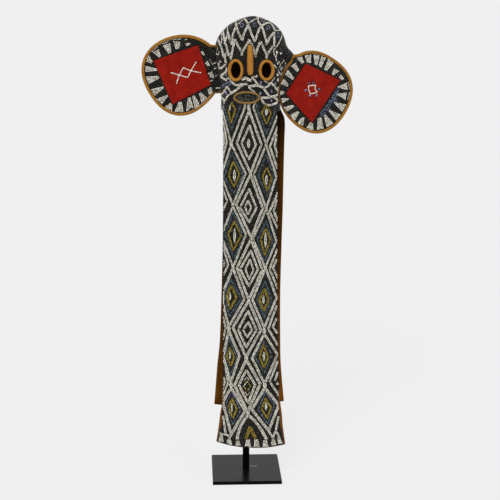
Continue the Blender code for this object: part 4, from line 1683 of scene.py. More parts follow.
@dataclass
class Studio:
    """The pale floor, the even backdrop, the soft lights and the photograph's camera."""

    floor_size: float = 90.0
    tone: Colour = (240, 240, 240)
    ambient: float = 0.42
    azimuth: float = math.radians(-2.668)
    height: float = 1.603
    distance: float = 3.8
    pitch: float = math.radians(12.33)
    focal_px: float = 1186.124
    shift_px: float = 3.107
    roll: float = math.radians(0.308)
    image_px: float = 500.0

    def build(self) -> None:
        """Sets up the floor, the world, the lights and the camera."""
        scene = bpy.context.scene
        scene.view_settings.view_transform = "Standard"
        self.floor()
        self.world(scene)
        self.light("key", 2.1, 26, (math.radians(48), 0, math.radians(-18)))
        self.light("fill", 0.3, 60, (math.radians(62), 0, math.radians(48)))
        self.camera(scene)

    def floor(self) -> None:
        """The pale floor, which is not part of the object."""
        net = bmesh.new()
        bmesh.ops.create_grid(net, x_segments=4, y_segments=4, size=self.floor_size)
        floor = new_object("floor", new_mesh(net, "floor"))
        made = bpy.data.materials.new("pale_floor")
        made.use_nodes = True
        shader = made.node_tree.nodes["Principled BSDF"].inputs
        shader["Base Color"].default_value = (0.1, 0.1, 0.1, 1)
        shader["Roughness"].default_value = 0.9
        shader["Specular IOR Level"].default_value = 0.0
        shader["Emission Color"].default_value = (1, 1, 1, 1)
        shader["Emission Strength"].default_value = 0.777
        floor.data.materials.append(made)
        floor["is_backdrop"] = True

    def world(self, scene: bpy.types.Scene) -> None:
        """The even pale surroundings, softer on the object than behind it.

        Args:
            scene: the scene to set up.
        """
        world = bpy.data.worlds.new("studio")
        world.use_nodes = True
        scene.world = world
        nodes = Nodes(world.node_tree)
        seen = nodes.add("LightPath").outputs["Is Camera Ray"]
        plain = world.node_tree.nodes["Background"]
        plain.inputs["Color"].default_value = (1, 1, 1, 1)
        strength = nodes.math("MULTIPLY_ADD", seen, linear(*self.tone)[0] - self.ambient, self.ambient)
        nodes.join(strength, plain.inputs["Strength"])

    def light(self, name: str, strength: float, spread: float, turn: tuple[float, float, float]) -> None:
        """One large soft light, far away, so that it falls evenly.

        Args:
            name: its name.
            strength: how bright it is.
            spread: how wide it shines from, in degrees.
            turn: its three angles.
        """
        lamp = bpy.data.lights.new(name, "SUN")
        lamp.energy = strength
        lamp.angle = math.radians(spread)
        holder = new_object(name, lamp)
        holder.rotation_euler = turn
        holder.location = (0, 0, 3)

    def camera(self, scene: bpy.types.Scene) -> None:
        """The photograph's camera.

        Args:
            scene: the scene to set up.
        """
        lens = bpy.data.cameras.new("camera")
        lens.sensor_width = 36.0
        lens.lens = 36.0 * self.focal_px / self.image_px
        holder = new_object("camera", lens)
        turn = math.atan(self.shift_px / self.focal_px)
        heading = Matrix.Rotation(-turn, 3, "Z") @ Vector((-math.sin(self.azimuth), math.cos(self.azimuth), 0))
        ahead = heading * math.cos(self.pitch) - UP * math.sin(self.pitch)
        right = heading.cross(UP).normalized()
        upward = right.cross(ahead)
        level_right = right * math.cos(self.roll) + upward * math.sin(self.roll)
        level_up = upward * math.cos(self.roll) - right * math.sin(self.roll)
        frame_turn = Matrix((level_right, level_up, -ahead)).transposed().to_4x4()
        spot = (math.sin(self.azimuth) * self.distance, -math.cos(self.azimuth) * self.distance, self.height)
        holder.matrix_world = Matrix.Translation(spot) @ frame_turn
        scene.camera = holder


@dataclass
class Stand:
    """The steel plate, post and felt pad, whose CAD nodes stay and get their finishes."""

    finishes: tuple = (("base_plate", STEEL), ("post", POST_STEEL), ("crown_pad", FELT))

    def build(self) -> None:
        """Dresses the stand's nodes."""
        for node, finish in self.finishes:
            mesh = frame["nodes"][node].data
            mesh.materials.clear()
            mesh.materials.append(finish.material())


@dataclass
class Hood:
    """The hollow cloth hood with its eye holes."""

    columns: int = 132
    rows: int = 64
    wall: float = 0.0022
    uneven: float = 0.0005

    def build(self) -> Net:
        """Builds the hood's cloth.

        Returns:
            A copy of its outer face, to sew beads on.
        """
        net = FORM.shell(self.columns, self.rows, BEAD_BED, self.uneven)
        bed = net.copy()
        for eye in (LEFT_EYE, RIGHT_EYE):
            gone = []
            for face in net.faces:
                middle = face.calc_center_median()
                if middle.y < 0 and eye.share(middle.x, middle.z, -0.001) < 1:
                    gone.append(face)
            bmesh.ops.delete(net, geom=gone, context="FACES")
        piece = finish_piece(net, "hood_cloth", (GROUND, LINING), "hood")
        thicken(piece, self.wall, lining=1)
        return bed


@dataclass
class FaceRolls:
    """The ochre rolls round the eyes and the mouth, and the long nose."""

    sides: int = 18
    steps: int = 96

    def build(self) -> None:
        """Builds the rolls and the nose."""
        for ring in (LEFT_EYE, RIGHT_EYE, MOUTH):
            self.ring(ring)
        self.nose()

    def oval(self, width: float, height: float, sink: float, sides: int, deep: float = 0.0) -> list[Point]:
        """A plump section that stands a little in the cloth, deeper in a hole: across and out.

        Args:
            width: its width.
            height: how far it stands out.
            sink: how deep it sits in the cloth.
            sides: the points round it.
            deep: how deep it sits on the side of a hole.

        Returns:
            The points of the section.
        """
        points = []
        for number in range(sides):
            turn = 2 * math.pi * number / sides
            across = 0.5 * width * math.cos(turn)
            out = math.sin(turn)
            depth = deep if across < 0 and deep else sink
            out = height * abs(out) ** 0.85 if out > 0 else -depth * abs(out) ** 0.6
            points.append((across, out))
        return points

    def ring(self, ring: FaceRing) -> None:
        """Builds one oval roll, slightly creased by its stitches.

        Args:
            ring: the oval to build.
        """
        sections = []
        for number in range(self.steps):
            turn = 2 * math.pi * number / self.steps
            x = ring.x + ring.half_width * math.cos(turn)
            z = ring.z + ring.half_height * math.sin(turn)
            normal = FORM.front_normal(x, z)
            base = FORM.front(x, z)
            outward = Vector((ring.half_height * math.cos(turn), 0, ring.half_width * math.sin(turn)))
            outward = (outward - normal * outward.dot(normal)).normalized()
            crease = 1 - 0.07 * abs(math.sin(turn * 11 + 0.7)) ** 6
            swell = crease * (1 + 0.07 * noise.noise(base * 90))
            deep = 0.0 if ring is MOUTH else 0.0052
            profile = self.oval(ring.width * (0.98 + 0.02 * swell), ring.height * swell, 0.002, self.sides, deep)
            sections.append([base + outward * across + normal * out for across, out in profile])
        net = loft(sections, closed=True)
        finish = MOUTH_TAN if ring is MOUTH else OCHRE
        piece = finish_piece(net, f"{ring.name}_roll", (finish,), ring.name)

    def nose(self) -> None:
        """Builds the stuffed nose."""
        sections = []
        rows = 64
        for row in range(rows + 1):
            up = row / rows
            x, z, width, height = NOSE.measures(min(max(up, 0.004), 0.996))
            normal = FORM.front_normal(x, z)
            base = FORM.front(x, z)
            along = (ACROSS - normal * ACROSS.dot(normal)).normalized()
            swell = 1 + 0.04 * noise.noise(base * 60)
            profile = self.oval(width, height * swell, 0.0015, 28)
            sections.append([base + along * across + normal * out for across, out in profile])
        net = loft(sections, closed=False)
        piece = finish_piece(net, "nose_roll", (OCHRE,), "nose")


@dataclass
class TrunkPanel:
    """The long beaded panel in front, with its brown side hems."""

    columns: int = 48
    rows: int = 230
    thickness: float = 0.0026
    side_steps: int = 120
    hem_steps: int = 60
    hem_top: float = 0.325
    edge_top: float = 0.31
    dark_edge: tuple[float, float, float] = (-0.098, 0.119, 0.16)

    def build(self) -> Net:
        """Builds the cloth of the trunk.

        Returns:
            A copy of its outer face, to sew beads on.
        """

        def wave(x: float, z: float) -> float:
            """The slight waves that the rows of beads pull into the cloth."""
            fade = min(max((FORM.floor - z) / 0.06, 0.0), 1.0)
            return fade * ripple(Vector((x, 0, z)), 0.035, 0.0012)

        net = TRUNK.sheet(self.columns, self.rows, BEAD_BED, wave)
        bed = net.copy()
        for face in net.faces:
            middle = face.calc_center_median()
            if middle.z < self.edge_top and not trunk_field(middle.x, middle.z, 0.0):
                face.material_index = 1
        piece = finish_piece(net, "trunk_cloth", (GROUND, SIDE_BROWN), "trunk_panel")
        thicken(piece, self.thickness)
        self.hem_roll()
        return bed

    def hem_roll(self) -> None:
        """The narrow rolled edge down both sides and along the hem."""
        rows, steps, top = self.side_steps, self.hem_steps, self.hem_top
        path = [(-1.0, top + (TRUNK.hem_z(-1.0) - top) * (row / rows)) for row in range(rows + 1)]
        path += [(-1.0 + 2.0 * step / steps, None) for step in range(1, steps)]
        path += [(1.0, TRUNK.hem_z(1.0) + (top - TRUNK.hem_z(1.0)) * row / rows) for row in range(rows + 1)]
        sections = []
        for number, (across, z) in enumerate(path):
            height = TRUNK.hem_z(across) if z is None else z
            left, right = TRUNK.edges(height)
            x = left + (right - left) * (across + 1) / 2
            inward = Vector((-across, 0, 0)) if z is not None else UP.copy()
            if z is None or abs(number - rows) < 3 or abs(number - rows - steps) < 3:
                inward = Vector((-0.7 * math.copysign(1, across) if abs(across) > 0.97 else 0.0, 0, 1)).normalized()
            middle = Vector((x, TRUNK.y(x, height) + 0.0030, height)) + inward * 0.0026
            pinch = 1 + 0.08 * math.sin(number * 1.7)
            ring = []
            for side in range(10):
                turn = 2 * math.pi * side / 10
                out = Vector((0, 0.0028 * pinch * math.sin(turn), 0))
                ring.append(middle + inward * 0.0026 * math.cos(turn) + out)
            sections.append(ring)
        net = loft(sections, closed=False)
        for face in net.faces:
            middle = face.calc_center_median()
            left, right, top = self.dark_edge
            if left < middle.x < right and middle.z < top:
                face.material_index = 1
        piece = finish_piece(net, "trunk_hem", (SIDE_BROWN, HEM_EDGE))


@dataclass
class BackPanel:
    """The plain brown panel behind."""

    columns: int = 56
    rows: int = 200
    thickness: float = 0.0024

    def build(self) -> None:
        """Builds the panel with its folds."""

        def wave(x: float, z: float) -> float:
            """Long soft folds that open towards the hem, kept inside the solid's thickness.

            Args:
                x: how far to the right.
                z: the height.

            Returns:
                How far out the cloth moves.
            """
            fall = min(max((FORM.floor - z) / 0.9, 0.0), 1.0)
            fold = math.sin(x * 62 + 1.3 * math.sin(z * 3.1) + 0.6)
            return -0.0015 + 0.0015 * fall * fold + ripple(Vector((x, 1, z)), 0.05, 0.0008)

        net = BACK.sheet(self.columns, self.rows, 0.0, wave)
        # The inside face takes the brown with painted shade, darker towards the top and behind the trunk.
        piece = finish_piece(net, "back_cloth", (BROWN, PAINTED_SHADE_BROWN), "back_panel")
        thicken(piece, self.thickness, lining=1)


@dataclass
class EarForm:
    """One ear: where it stands, its outline, its red patch and its bead patterns.

    The tab towards the hood is given by the angles where it starts, is full, is full no more and ends, and its length.
    """

    name: str
    centre: Vector
    turn: float
    radius: float
    lobes: tuple
    patch: tuple[Point, ...]
    wedges: tuple
    arcs: tuple = ()
    dots: tuple = ()
    strips: tuple = ()
    tab: tuple[float, ...] = (0.0, 1.0, 2.0, 3.0, 0.0)
    slim: float | None = None
    thickness: float = 0.007
    roll: float = 0.0054
    patch_thickness: float = 0.0012

    def reach(self, angle: float) -> float:
        """The ear's outline in the direction of this angle, with the tab that joins it to the hood.

        Args:
            angle: the direction, in radians.

        Returns:
            The distance from its middle.
        """
        turn = (math.degrees(angle) + 180) % 360 - 180
        share = float(np.interp(turn, self.tab[:4], (0.0, 1.0, 1.0, 0.0)))
        share *= share * (3 - 2 * share)
        return (
            self.radius
            + share * self.tab[4]
            + sum(height * math.cos(count * (angle - math.radians(first))) for count, height, first in self.lobes)
        )

    def roll_at(self, angle: float) -> float:
        """The edge roll's radius, thinner where the ear presses on the cheek.

        Args:
            angle: the direction, in radians.

        Returns:
            The radius.
        """
        if self.slim is None:
            return self.roll
        turn = (math.degrees(angle) - self.slim + 180) % 360 - 180
        return self.roll * (1 - 0.5 * math.exp(-((turn / 42) ** 2)))

    def field(self, angle: float) -> float:
        """How far the cloth disc reaches, up to the flat inner side of its edge roll."""
        return self.reach(angle) - 1.74 * self.roll_at(angle) - GAP

    def front(self) -> Vector:
        """The direction out of the ear's front."""
        return Vector((math.sin(self.turn), -math.cos(self.turn), 0))

    def place(self, across: float, up: float, out: float) -> Vector:
        """A point given across, up and out of the middle of the ear."""
        along = Vector((math.cos(self.turn), math.sin(self.turn), 0))
        return self.centre + along * across + UP * up + self.front() * out


LEFT_EAR = EarForm(
    "ear_left",
    Vector((-0.2082, -0.0350, 1.3465)),
    math.radians(-6),
    0.1261,
    ((2, 0.0022, 31), (3, 0.0045, 27), (4, 0.0017, -8)),
    points(0.0512, 0.0902, -0.0894, 0.0409, -0.0304, -0.0951, 0.0911, -0.0327),
    fours(
        10.8, 96, 27.8, 96.1, 24.8, 90.2, 13.8, 86.2, -26.1, 101.6, -4.1, 99.8, -9.3, 79.2, -19.3, 76.1,
        -59.2, 87.6, -37.2, 95.6, -32.4, 66.2, -42.5, 63.2, -90.6, 66.7, -72.4, 76.7, -65.6, 55.1, -71.7, 50.1,
        -116, 38.9, -104.7, 57.7, -90.9, 38.1, -96, 31.1, -119.5, 5.2, -119.2, 25, -79.1, 16.4, -78.2, 9.5,
        -113.7, -9.7, -105.9, -32.5, -71.4, -14.3, -73.3, -6.3, -102.1, -50.4, -89.2, -72.3, -58.6, -44, -58.6, -38,
        -86.3, -81.3, -66.2, -96.1, -44.7, -69.8, -45.7, -63.8, -58.2, -105, -33, -116.8, -30.8, -96.7, -37.9, -90.8,
        -23.9, -118.7, 3.4, -119.4, -0.5, -87.4, -10.5, -85.5, 12.5, -115.3, 36.8, -110, 26.9, -73.1, 17.8, -73.2,
        40.8, -106, 57, -97.8, 39, -65, 30.9, -70.1, 63.1, -92.7, 81.3, -76.5, 59.2, -55.8, 53.1, -60.8,
        87.3, -67.5, 97.4, -58.4, 91.4, -38.6, 80.3, -47.6, 59.6, 69.9, 65.6, 71.9, 72.6, 61.2, 67.6, 57.2,
        73.5, 35.6, 80.5, 42.5, 88.5, 26.8, 80.5, 24.8, 82.4, 3, 95.5, 11.1, 97.4, -12.7, 87.4, -6.8,
    ),
    arcs=(
        points(-27, 110.4, -20, 107.2, -12.1, 106.6, -2, 113.5), points(-64.2, 93.5, -50.2, 96.5, -40.1, 105.4),
        points(-96.5, 69.6, -85.4, 76.6, -78.3, 86.5), points(86.5, 46.5, 97.5, 28.9),
        points(92.5, 6.7, 98.6, -1.9, 99.5, -12.2),
    ),
    dots=points(103.5, 34.8, 104.5, 18.1, 108.2, -3.5, 92.5, -20.1, 109.9, -42.4, 116.9, -42.9, 12.9, 106.8),
    tab=(-30.0, -24.5, 36.0, 46.0, 0.0175),
)
RIGHT_EAR = EarForm(
    "ear_right",
    Vector((0.2123, -0.0450, 1.2915)),
    math.radians(18),
    0.1275,
    ((2, -0.0044, 39), (3, 0.0021, 14), (4, 0.0025, 12)),
    points(-0.037, 0.0902, 0.0841, 0.0355, -0.0122, -0.0963, -0.1019, -0.0022),
    fours(
        -65.3, 105.2, -51.8, 113.2, -41.3, 94.5, -50.3, 88.4, -39.3, 113.1, -18.8, 116.9, -18.4, 91, -33.3, 93.3,
        -8.5, 116.4, 11, 114.9, 2.4, 83.4, -6.2, 87.7, 17.9, 113.9, 34.1, 111, 16.3, 75.9, 8.1, 83.3,
        42.2, 107.8, 61.1, 92.9, 36.2, 65.1, 26.8, 70.4, 61.5, 74, 79.2, 64.3, 62, 52, 53.8, 55.3,
        86.5, 52.6, 97.3, 40.7, 89.2, 35.6, 78.5, 45.3, 107, 26.8, 111.1, 4.5, 75.7, 12.7, 74.5, 15.9,
        107.8, -3.9, 103.7, -27.2, 75.1, -10.6, 75, -6.3, 104, -41.1, 94, -65.3, 64, -36.8, 63.9, -32.5,
        85.9, -72.5, 69.9, -89.1, 45.8, -61.7, 48.1, -57.5, 58.2, -94.1, 39.9, -111.6, 28.6, -73.9, 34.4, -70.9,
        28.2, -113.3, 6.2, -120, 7.8, -81.8, 20.6, -79, -6.5, -119.6, -32.1, -115.5, -18.5, -95.8, -9.3, -93.9,
        -43.7, -108.7, -64.5, -98.4, -49.9, -82, -37.3, -77.2, -71.6, -87.7, -91.2, -71.2, -62.8, -58.4, -55.9, -61.8,
        -100.4, -60.4, -112, -45.4, -78, -38, -72.2, -42.4, -116.6, -32.8, -120.2, -16, -94.2, -16.7, -91.9, -20.9,
        -120.3, -5.6, -122.8, 10, -106.9, 4.5, -108, -2.8, -119.6, 28.6, -110.8, 45, -92.5, 26, -96.9, 18.8,
        -100.8, 54.1, -90.8, 67.4, -75.8, 47.4, -79.1, 39.2, -81.9, 78.6, -70.8, 91.8, -57.9, 69.9, -64.7, 63.8,
    ),
    arcs=(
        points(110.5, 30, 115.5, 17, 117.5, 5), points(117.5, -3, 115.5, -14, 110.5, -27),
    ),
    strips=fours(
        82.5, 6, 72.5, 12, 54, -19, 67, -26, 79, -38, 72, -22, 56, -20, 52, -33, 60, -32, 48, -26, 35, -46, 48, -56,
        56, -58, 48, -44, 33, -47, 30, -62, 40, -62, 31, -50, 13, -68, 23, -80,
    ),
    tab=(116.0, 124.0, 126.0, 133.0, 0.007),
    slim=180.0,
)


@dataclass
class Ear:
    """The stiff cloth disc of an ear with its rolled edge and red patch."""

    form: EarForm
    sides: int = 144
    rings: int = 16

    def build(self, cutter: Piece) -> None:
        """Builds the ear's pieces.

        Args:
            cutter: the hood's solid, which the ear is trimmed by.
        """
        self.disc(cutter)
        self.binding(cutter)
        self.patch(cutter)

    def trimmed(self, piece: Piece, cutter: Piece) -> None:
        """Cuts away what lies inside the hood.

        Args:
            piece: the piece.
            cutter: the hood's solid, which the ear is trimmed by.
        """
        cut = piece.modifiers.new("trim", "BOOLEAN")
        cut.operation = "DIFFERENCE"
        cut.solver = "EXACT"
        cut.object = cutter
        settle(piece)

    def disc(self, cutter: Piece) -> None:
        """The cloth disc: dark under the beads, brown behind.

        Args:
            cutter: the hood's solid, which the ear is trimmed by.
        """
        form = self.form
        bed = form.thickness / 2 - BEAD_BED
        rounds = ((0.0, bed), (0.0, -form.thickness / 2 + 0.0008), (-0.0008, -form.thickness / 2))
        shares = [number / self.rings for number in range(1, self.rings)]
        sections = [[self.spot(share, angle, bed) for angle in self.angles()] for share in shares]
        for inset, out in rounds:
            ring = []
            for angle in self.angles():
                reach = form.field(angle) + inset
                ring.append(form.place(reach * math.cos(angle), reach * math.sin(angle), out))
            sections.append(ring)
        for share in reversed(shares):
            sections.append([self.spot(share, angle, -form.thickness / 2) for angle in self.angles()])
        net = loft(sections, closed=False)
        for face in net.faces:
            if face.normal.dot(form.front()) < 0.5:
                face.material_index = 1
        piece = finish_piece(net, f"{form.name}_disc", (GROUND, BROWN), form.name)
        self.trimmed(piece, cutter)

    def angles(self) -> list[float]:
        """The directions round the ear."""
        return [2 * math.pi * number / self.sides for number in range(self.sides)]

    def spot(self, share: float, angle: float, out: float) -> Vector:
        """A point a share of the way from the ear's middle to its edge.

        Args:
            share: the share of the way, 0 to 1.
            angle: the direction, in radians.
            out: how far out of the ear's front.

        Returns:
            The point.
        """
        reach = self.form.field(angle) * share
        across, up = reach * math.cos(angle), reach * math.sin(angle)
        return self.form.place(across, up, out + ripple(Vector((across, up, out)), 0.04, 0.0004))

    def binding(self, cutter: Piece) -> None:
        """The brown roll, whipped round the ear's edge with thread.

        Args:
            cutter: the hood's solid, which the ear is trimmed by.
        """
        form = self.form
        sections = []
        for angle in self.angles():
            roll = form.roll_at(angle)
            reach = form.reach(angle) - roll
            pinch = 1 - 0.05 * abs(math.sin(angle * 36)) + 0.05 * noise.noise(Vector((angle * 9, 0, 0)))
            ring = []
            for side in range(14):
                turn = 2 * math.pi * (side + 0.5) / 14
                bulge = reach + roll * max(pinch * math.cos(turn), -0.74)
                out = roll * pinch * math.sin(turn)
                ring.append(form.place(bulge * math.cos(angle), bulge * math.sin(angle), out))
            sections.append(ring)
        net = loft(sections, closed=True)
        piece = finish_piece(net, f"{form.name}_roll", (BINDING,), f"{form.name}_binding")
        self.trimmed(piece, cutter)

    def patch(self, cutter: Piece) -> None:
        """The red square, sewn down along its edge.

        Args:
            cutter: the hood's solid, which the ear is trimmed by.
        """
        form = self.form
        out = form.thickness / 2 + GAP
        corners = [Vector(corner) for corner in form.patch]

        def place(across: float, up: float) -> Vector:
            """A point of the patch.

            Args:
                across: how far across, 0 to 1.
                up: how far up, 0 to 1.

            Returns:
                The point.
            """
            low = corners[0].lerp(corners[1], across)
            high = corners[3].lerp(corners[2], across)
            spot = low.lerp(high, up)
            edge = min(across, up, 1 - across, 1 - up)
            puff = 0.0007 * min(edge / 0.06, 1.0) + ripple(Vector((spot.x, spot.y, 2)), 0.03, 0.0003)
            return form.place(spot.x, spot.y, out + 0.0004 + puff)

        net = draped_grid(40, 40, place)
        if sum(face.normal.dot(form.front()) for face in net.faces) < 0:
            bmesh.ops.reverse_faces(net, faces=net.faces)
        piece = finish_piece(net, f"{form.name}_cloth_square", (RED,), f"{form.name}_patch")
        thicken(piece, 0.0008)
        self.trimmed(piece, cutter)


def between(levels: Sequence[Point], z: float) -> float:
    """Reads a bead edge's x at a height from its rows of height and x, all in millimetres."""
    return float(np.interp(z, *zip(*levels)))


def trunk_field(x: float, z: float, margin: float) -> bool:
    """Whether a spot of the trunk lies inside its field of beads, by a margin.

    Args:
        x: how far to the right.
        z: the height.
        margin: how far inside it must lie.

    Returns:
        Whether it does.
    """
    left, right = TRUNK.edges(z)
    left, right = left + 0.0006, right - 0.0006
    if z < 0.33:
        left = max(left, between(BEAD_EDGE_LEFT, z / MM) * MM)
        right = min(right, between(BEAD_EDGE_RIGHT, z / MM) * MM)
    across = 2 * (x - TRUNK.edges(z)[0]) / (TRUNK.edges(z)[1] - TRUNK.edges(z)[0]) - 1
    if z < TRUNK.hem_z(min(max(across, -1.0), 1.0)) + 0.0030 + margin:
        return False
    return left + margin < x < right - margin


@dataclass
class MaskBeads:
    """The beads of the hood and the trunk, sewn over both as one pattern."""

    work: BeadWork
    bed: BVHTree
    heights: tuple = (250, 350, 440, 550, 640, 840, 1250)
    pale_widths: tuple = (10.2, 9.8, 9.4, 9.0, 8.7, 8.3, 8.0)
    yellow_widths: tuple = (7.0, 6.8, 6.6, 7.2, 7.8, 5.8, 5.6)
    blue_widths: tuple = (5.2, 5.2, 5.2, 6.2, 7.2, 6.4, 6.4)
    trunk_splits: Point = (0.87, 0.50)
    net_turn: float = math.radians(20)
    net_heights: tuple = (1.5215, 1.4970, 1.4500, 1.4010, 1.3560, 1.3100, 1.2640, 1.2200)

    def part(self, spot: Vector) -> str:
        """The bead piece that a spot belongs to.

        Args:
            spot: the spot on the cloth.

        Returns:
            The piece's name.
        """
        if spot.z > FORM.floor - GAP:
            return "hood_beads_front" if spot.y < 0 else "hood_beads_back"
        high, low = self.trunk_splits
        if spot.z > high:
            return "trunk_beads_high"
        return "trunk_beads_middle" if spot.z > low else "trunk_beads_low"

    def allowed(self, spot: Vector) -> bool:
        """Whether beads may be sewn at a spot: not under a roll, over a hole or off the cloth.

        Args:
            spot: the spot on the cloth.

        Returns:
            Whether they may.
        """
        if spot.z <= FORM.floor - GAP:
            return trunk_field(spot.x, spot.z, 0.0014)
        if spot.y > 0 or spot.z > 1.45:
            return spot.z > FORM.floor + 0.001
        for eye in (LEFT_EYE, RIGHT_EYE):
            if eye.share(spot.x, spot.z, 0.0058) < 1:
                return False
        if MOUTH.share(spot.x, spot.z, 0.0038) < 1 < MOUTH.share(spot.x, spot.z, -0.0036):
            return False
        return not NOSE.covers(spot.x, spot.z)

    def build(self) -> None:
        """Sews the whole pattern: strokes first, then the dark rows, then the rest."""
        ground = Ground(self.work, self.bed, self.part, self.allowed)
        self.cells(ground)
        self.head(ground)
        self.rear_net(ground)
        self.dark_rows(ground)
        self.fill_trunk(ground)
        self.fill_hood(ground)

    def width(self, strand: Strand, z: float) -> float:
        """How wide a line of this strand is at a height in millimetres."""
        rows = {PALE: self.pale_widths, YELLOW: self.yellow_widths}.get(strand, self.blue_widths)
        return float(np.interp(z, self.heights, rows)) * MM

    def lines(self, ground: Ground) -> Iterable[tuple[Strand, list[Point], float]]:
        """Every straight line of the trunk's lozenges: its strand, its two ends and its width.

        Args:
            ground: the cloth to sew on.

        Returns:
            Each line in turn.
        """
        for number, cell in enumerate(MIDDLE_CELLS + SIDE_CELLS):
            middle = sum(corner[1] for corner in cell.outline) / len(cell.outline)
            share = 1.0 if number < len(MIDDLE_CELLS) else (0.84 if middle > 700 else 0.95)
            width = self.width(PALE, middle) * share
            for line in ground.sides(cell.outline, width, cell not in OPEN_CELLS):
                yield PALE, line, width
            for strand, corners in cell.rings:
                small = abs(corners[0][1] - corners[-2][1]) < 70 and strand is PALE
                width = self.width(strand, middle) * (0.76 if small else 0.9 if strand is PALE else 1.0)
                for line in ground.sides(corners, width * 0.7, len(corners) == 4):
                    yield strand, line, width

    def edge_lines(self, ground: Ground) -> Iterable[tuple[list[Point], float]]:
        """Every line of the chevrons at the trunk's edges, with its width.

        Args:
            ground: the cloth to sew on.

        Returns:
            Each line in turn.
        """
        for strokes in EDGE_STROKES:
            width = 0.0062 if strokes[0][0] < 0 and strokes[0][1] > 300 else 0.0074
            for line in ground.sides(strokes, width, closed=False):
                yield line, width

    def cells(self, ground: Ground) -> None:
        """Sews the lozenges of the trunk.

        Args:
            ground: the cloth to sew on.
        """
        for x, z in JOINTS:
            big = z < 560
            ground.lens(x, z, 6.6 if big else 5.4, 9.5 if big else 7.5, PALE)
        for line in HEM_ARCH:
            ground.stroke(line, PALE, 0.0102, 3, smooth=True)
        for cell in MIDDLE_CELLS + SIDE_CELLS:
            if cell.middle:
                ground.lens(*cell.middle, PALE)
        for x, z in TIPS:
            ground.lens(x, z, 2.6, 7.0, VIOLET)
        for strand, line, width in self.lines(ground):
            ground.stroke(line, strand, width, max(1, round(width / 0.0036)))
        for line, width in self.edge_lines(ground):
            ground.stroke(line, PALE, width, 2)
        for line in ground.sides(HEM_YELLOW, 0.007, closed=False):
            ground.stroke(line, YELLOW, 0.0105, 3)
        for wedge in HEM_WEDGES:
            ground.patch(wedge, PALE)
        for line in PINK_TIPS:
            ground.stroke(line, PINK, 0.0042, 1)

    def head(self, ground: Ground) -> None:
        """Sews the net of the head and the strokes of the face.

        Args:
            ground: the cloth to sew on.
        """
        for strokes, strand in ((HEAD_STROKES, PALE), (FACE_STROKES, Strand.BRIGHT)):
            for width, *row in strokes:
                line = points(*row)
                ground.stroke(line, strand, width * MM, 2 if width > 5 else 1, smooth=len(line) > 3)
        for x, z in HEAD_RINGS:
            self.small_ring(ground, x, z)
        ground.stroke(BLUE_CHEEK, Strand.CHEEK, 0.0056, 2, smooth=True)
        for x, z in BLUE_SPOTS:
            ground.lens(x, z, 3.2, 4.4, Strand.SPOT)
        for x, z in PALE_SPOTS:
            ground.lens(x, z, 2.3, 2.8, Strand.BRIGHT)

    def small_ring(self, ground: Ground, x: float, z: float) -> None:
        """Sews a small blue ring in the middle of a lozenge of the net.

        Args:
            ground: the cloth to sew on.
            x: its middle's x, in millimetres.
            z: its middle's height, in millimetres.
        """
        for number in range(8):
            turn = math.pi * number / 4
            place, normal = ground.under((x + 4.8 * math.cos(turn)) * MM, (z + 5.6 * math.sin(turn)) * MM)
            ground.put(place, normal, ACROSS, (0.0042, 0.0036), Strand.RING, 0.0024)

    def around(self, ground: Ground, start: Point, end: Point) -> list[Place]:
        """A line round the hood between two spots given as angle and height.

        Args:
            ground: the cloth to sew on.
            start: the first spot's angle and height.
            end: the last spot's angle and height.

        Returns:
            Close points along it with the way out of the cloth.
        """
        places = []
        for step in range(25):
            share = step / 24
            angle = start[0] + (end[0] - start[0]) * share
            z = start[1] + (end[1] - start[1]) * share
            places.append(ground.close(FORM.point(angle, min(z, FORM.crown - 0.0027), BEAD_BED)))
        return places

    def rear_net(self, ground: Ground) -> None:
        """Sews the net of lozenges round the sides and the back, where the photograph doesn't reach.

        Args:
            ground: the cloth to sew on.
        """
        for level, (low, high) in enumerate(zip(self.net_heights[1:], self.net_heights)):
            for number in range(-1, 11):
                for lean in (-0.5, 0.5):
                    base = math.radians(-8) + self.net_turn * (number + 0.5 * (level % 2))
                    line = self.around(ground, (base, high), (base + lean * self.net_turn, low))
                    line = [place for place in line if self.behind(place[0])]
                    if len(line) > 4:
                        ground.row(line, PALE, 0.0080, 2)

    def behind(self, spot: Vector) -> bool:
        """Whether a spot of the hood is out of the photograph's sight."""
        return spot.y > (-0.035 if spot.z < 1.43 and spot.x > 0 else -0.02)

    def dark_rows(self, ground: Ground) -> None:
        """Sews a dark row along both sides of every stroke of the trunk.

        Args:
            ground: the cloth to sew on.
        """
        for _, line, width in self.lines(ground):
            ground.outline(line, DARK, width)
        for line, width in self.edge_lines(ground):
            ground.outline(line, DARK, width)

    def fill_trunk(self, ground: Ground) -> None:
        """Fills what is left of the trunk with dark beads, in rows and then singly.

        Args:
            ground: the cloth to sew on.
        """
        for pitch_x, pitch_z, room in ((4.2, 3.3, LOOSE), (1.9, 1.7, SNUG)):
            for row in range(int(1110 / pitch_z)):
                z = (FORM.floor - GAP) / MM - (row + 0.5) * pitch_z
                for column in range(int(236 / pitch_x)):
                    x = -108 + (column + 0.5 * (row % 2)) * pitch_x
                    if not trunk_field(x * MM, z * MM, 0.0014):
                        continue
                    place, normal = ground.under(x * MM, z * MM)
                    ground.put(place, normal, ACROSS, FILL_BEAD, DARK, room)

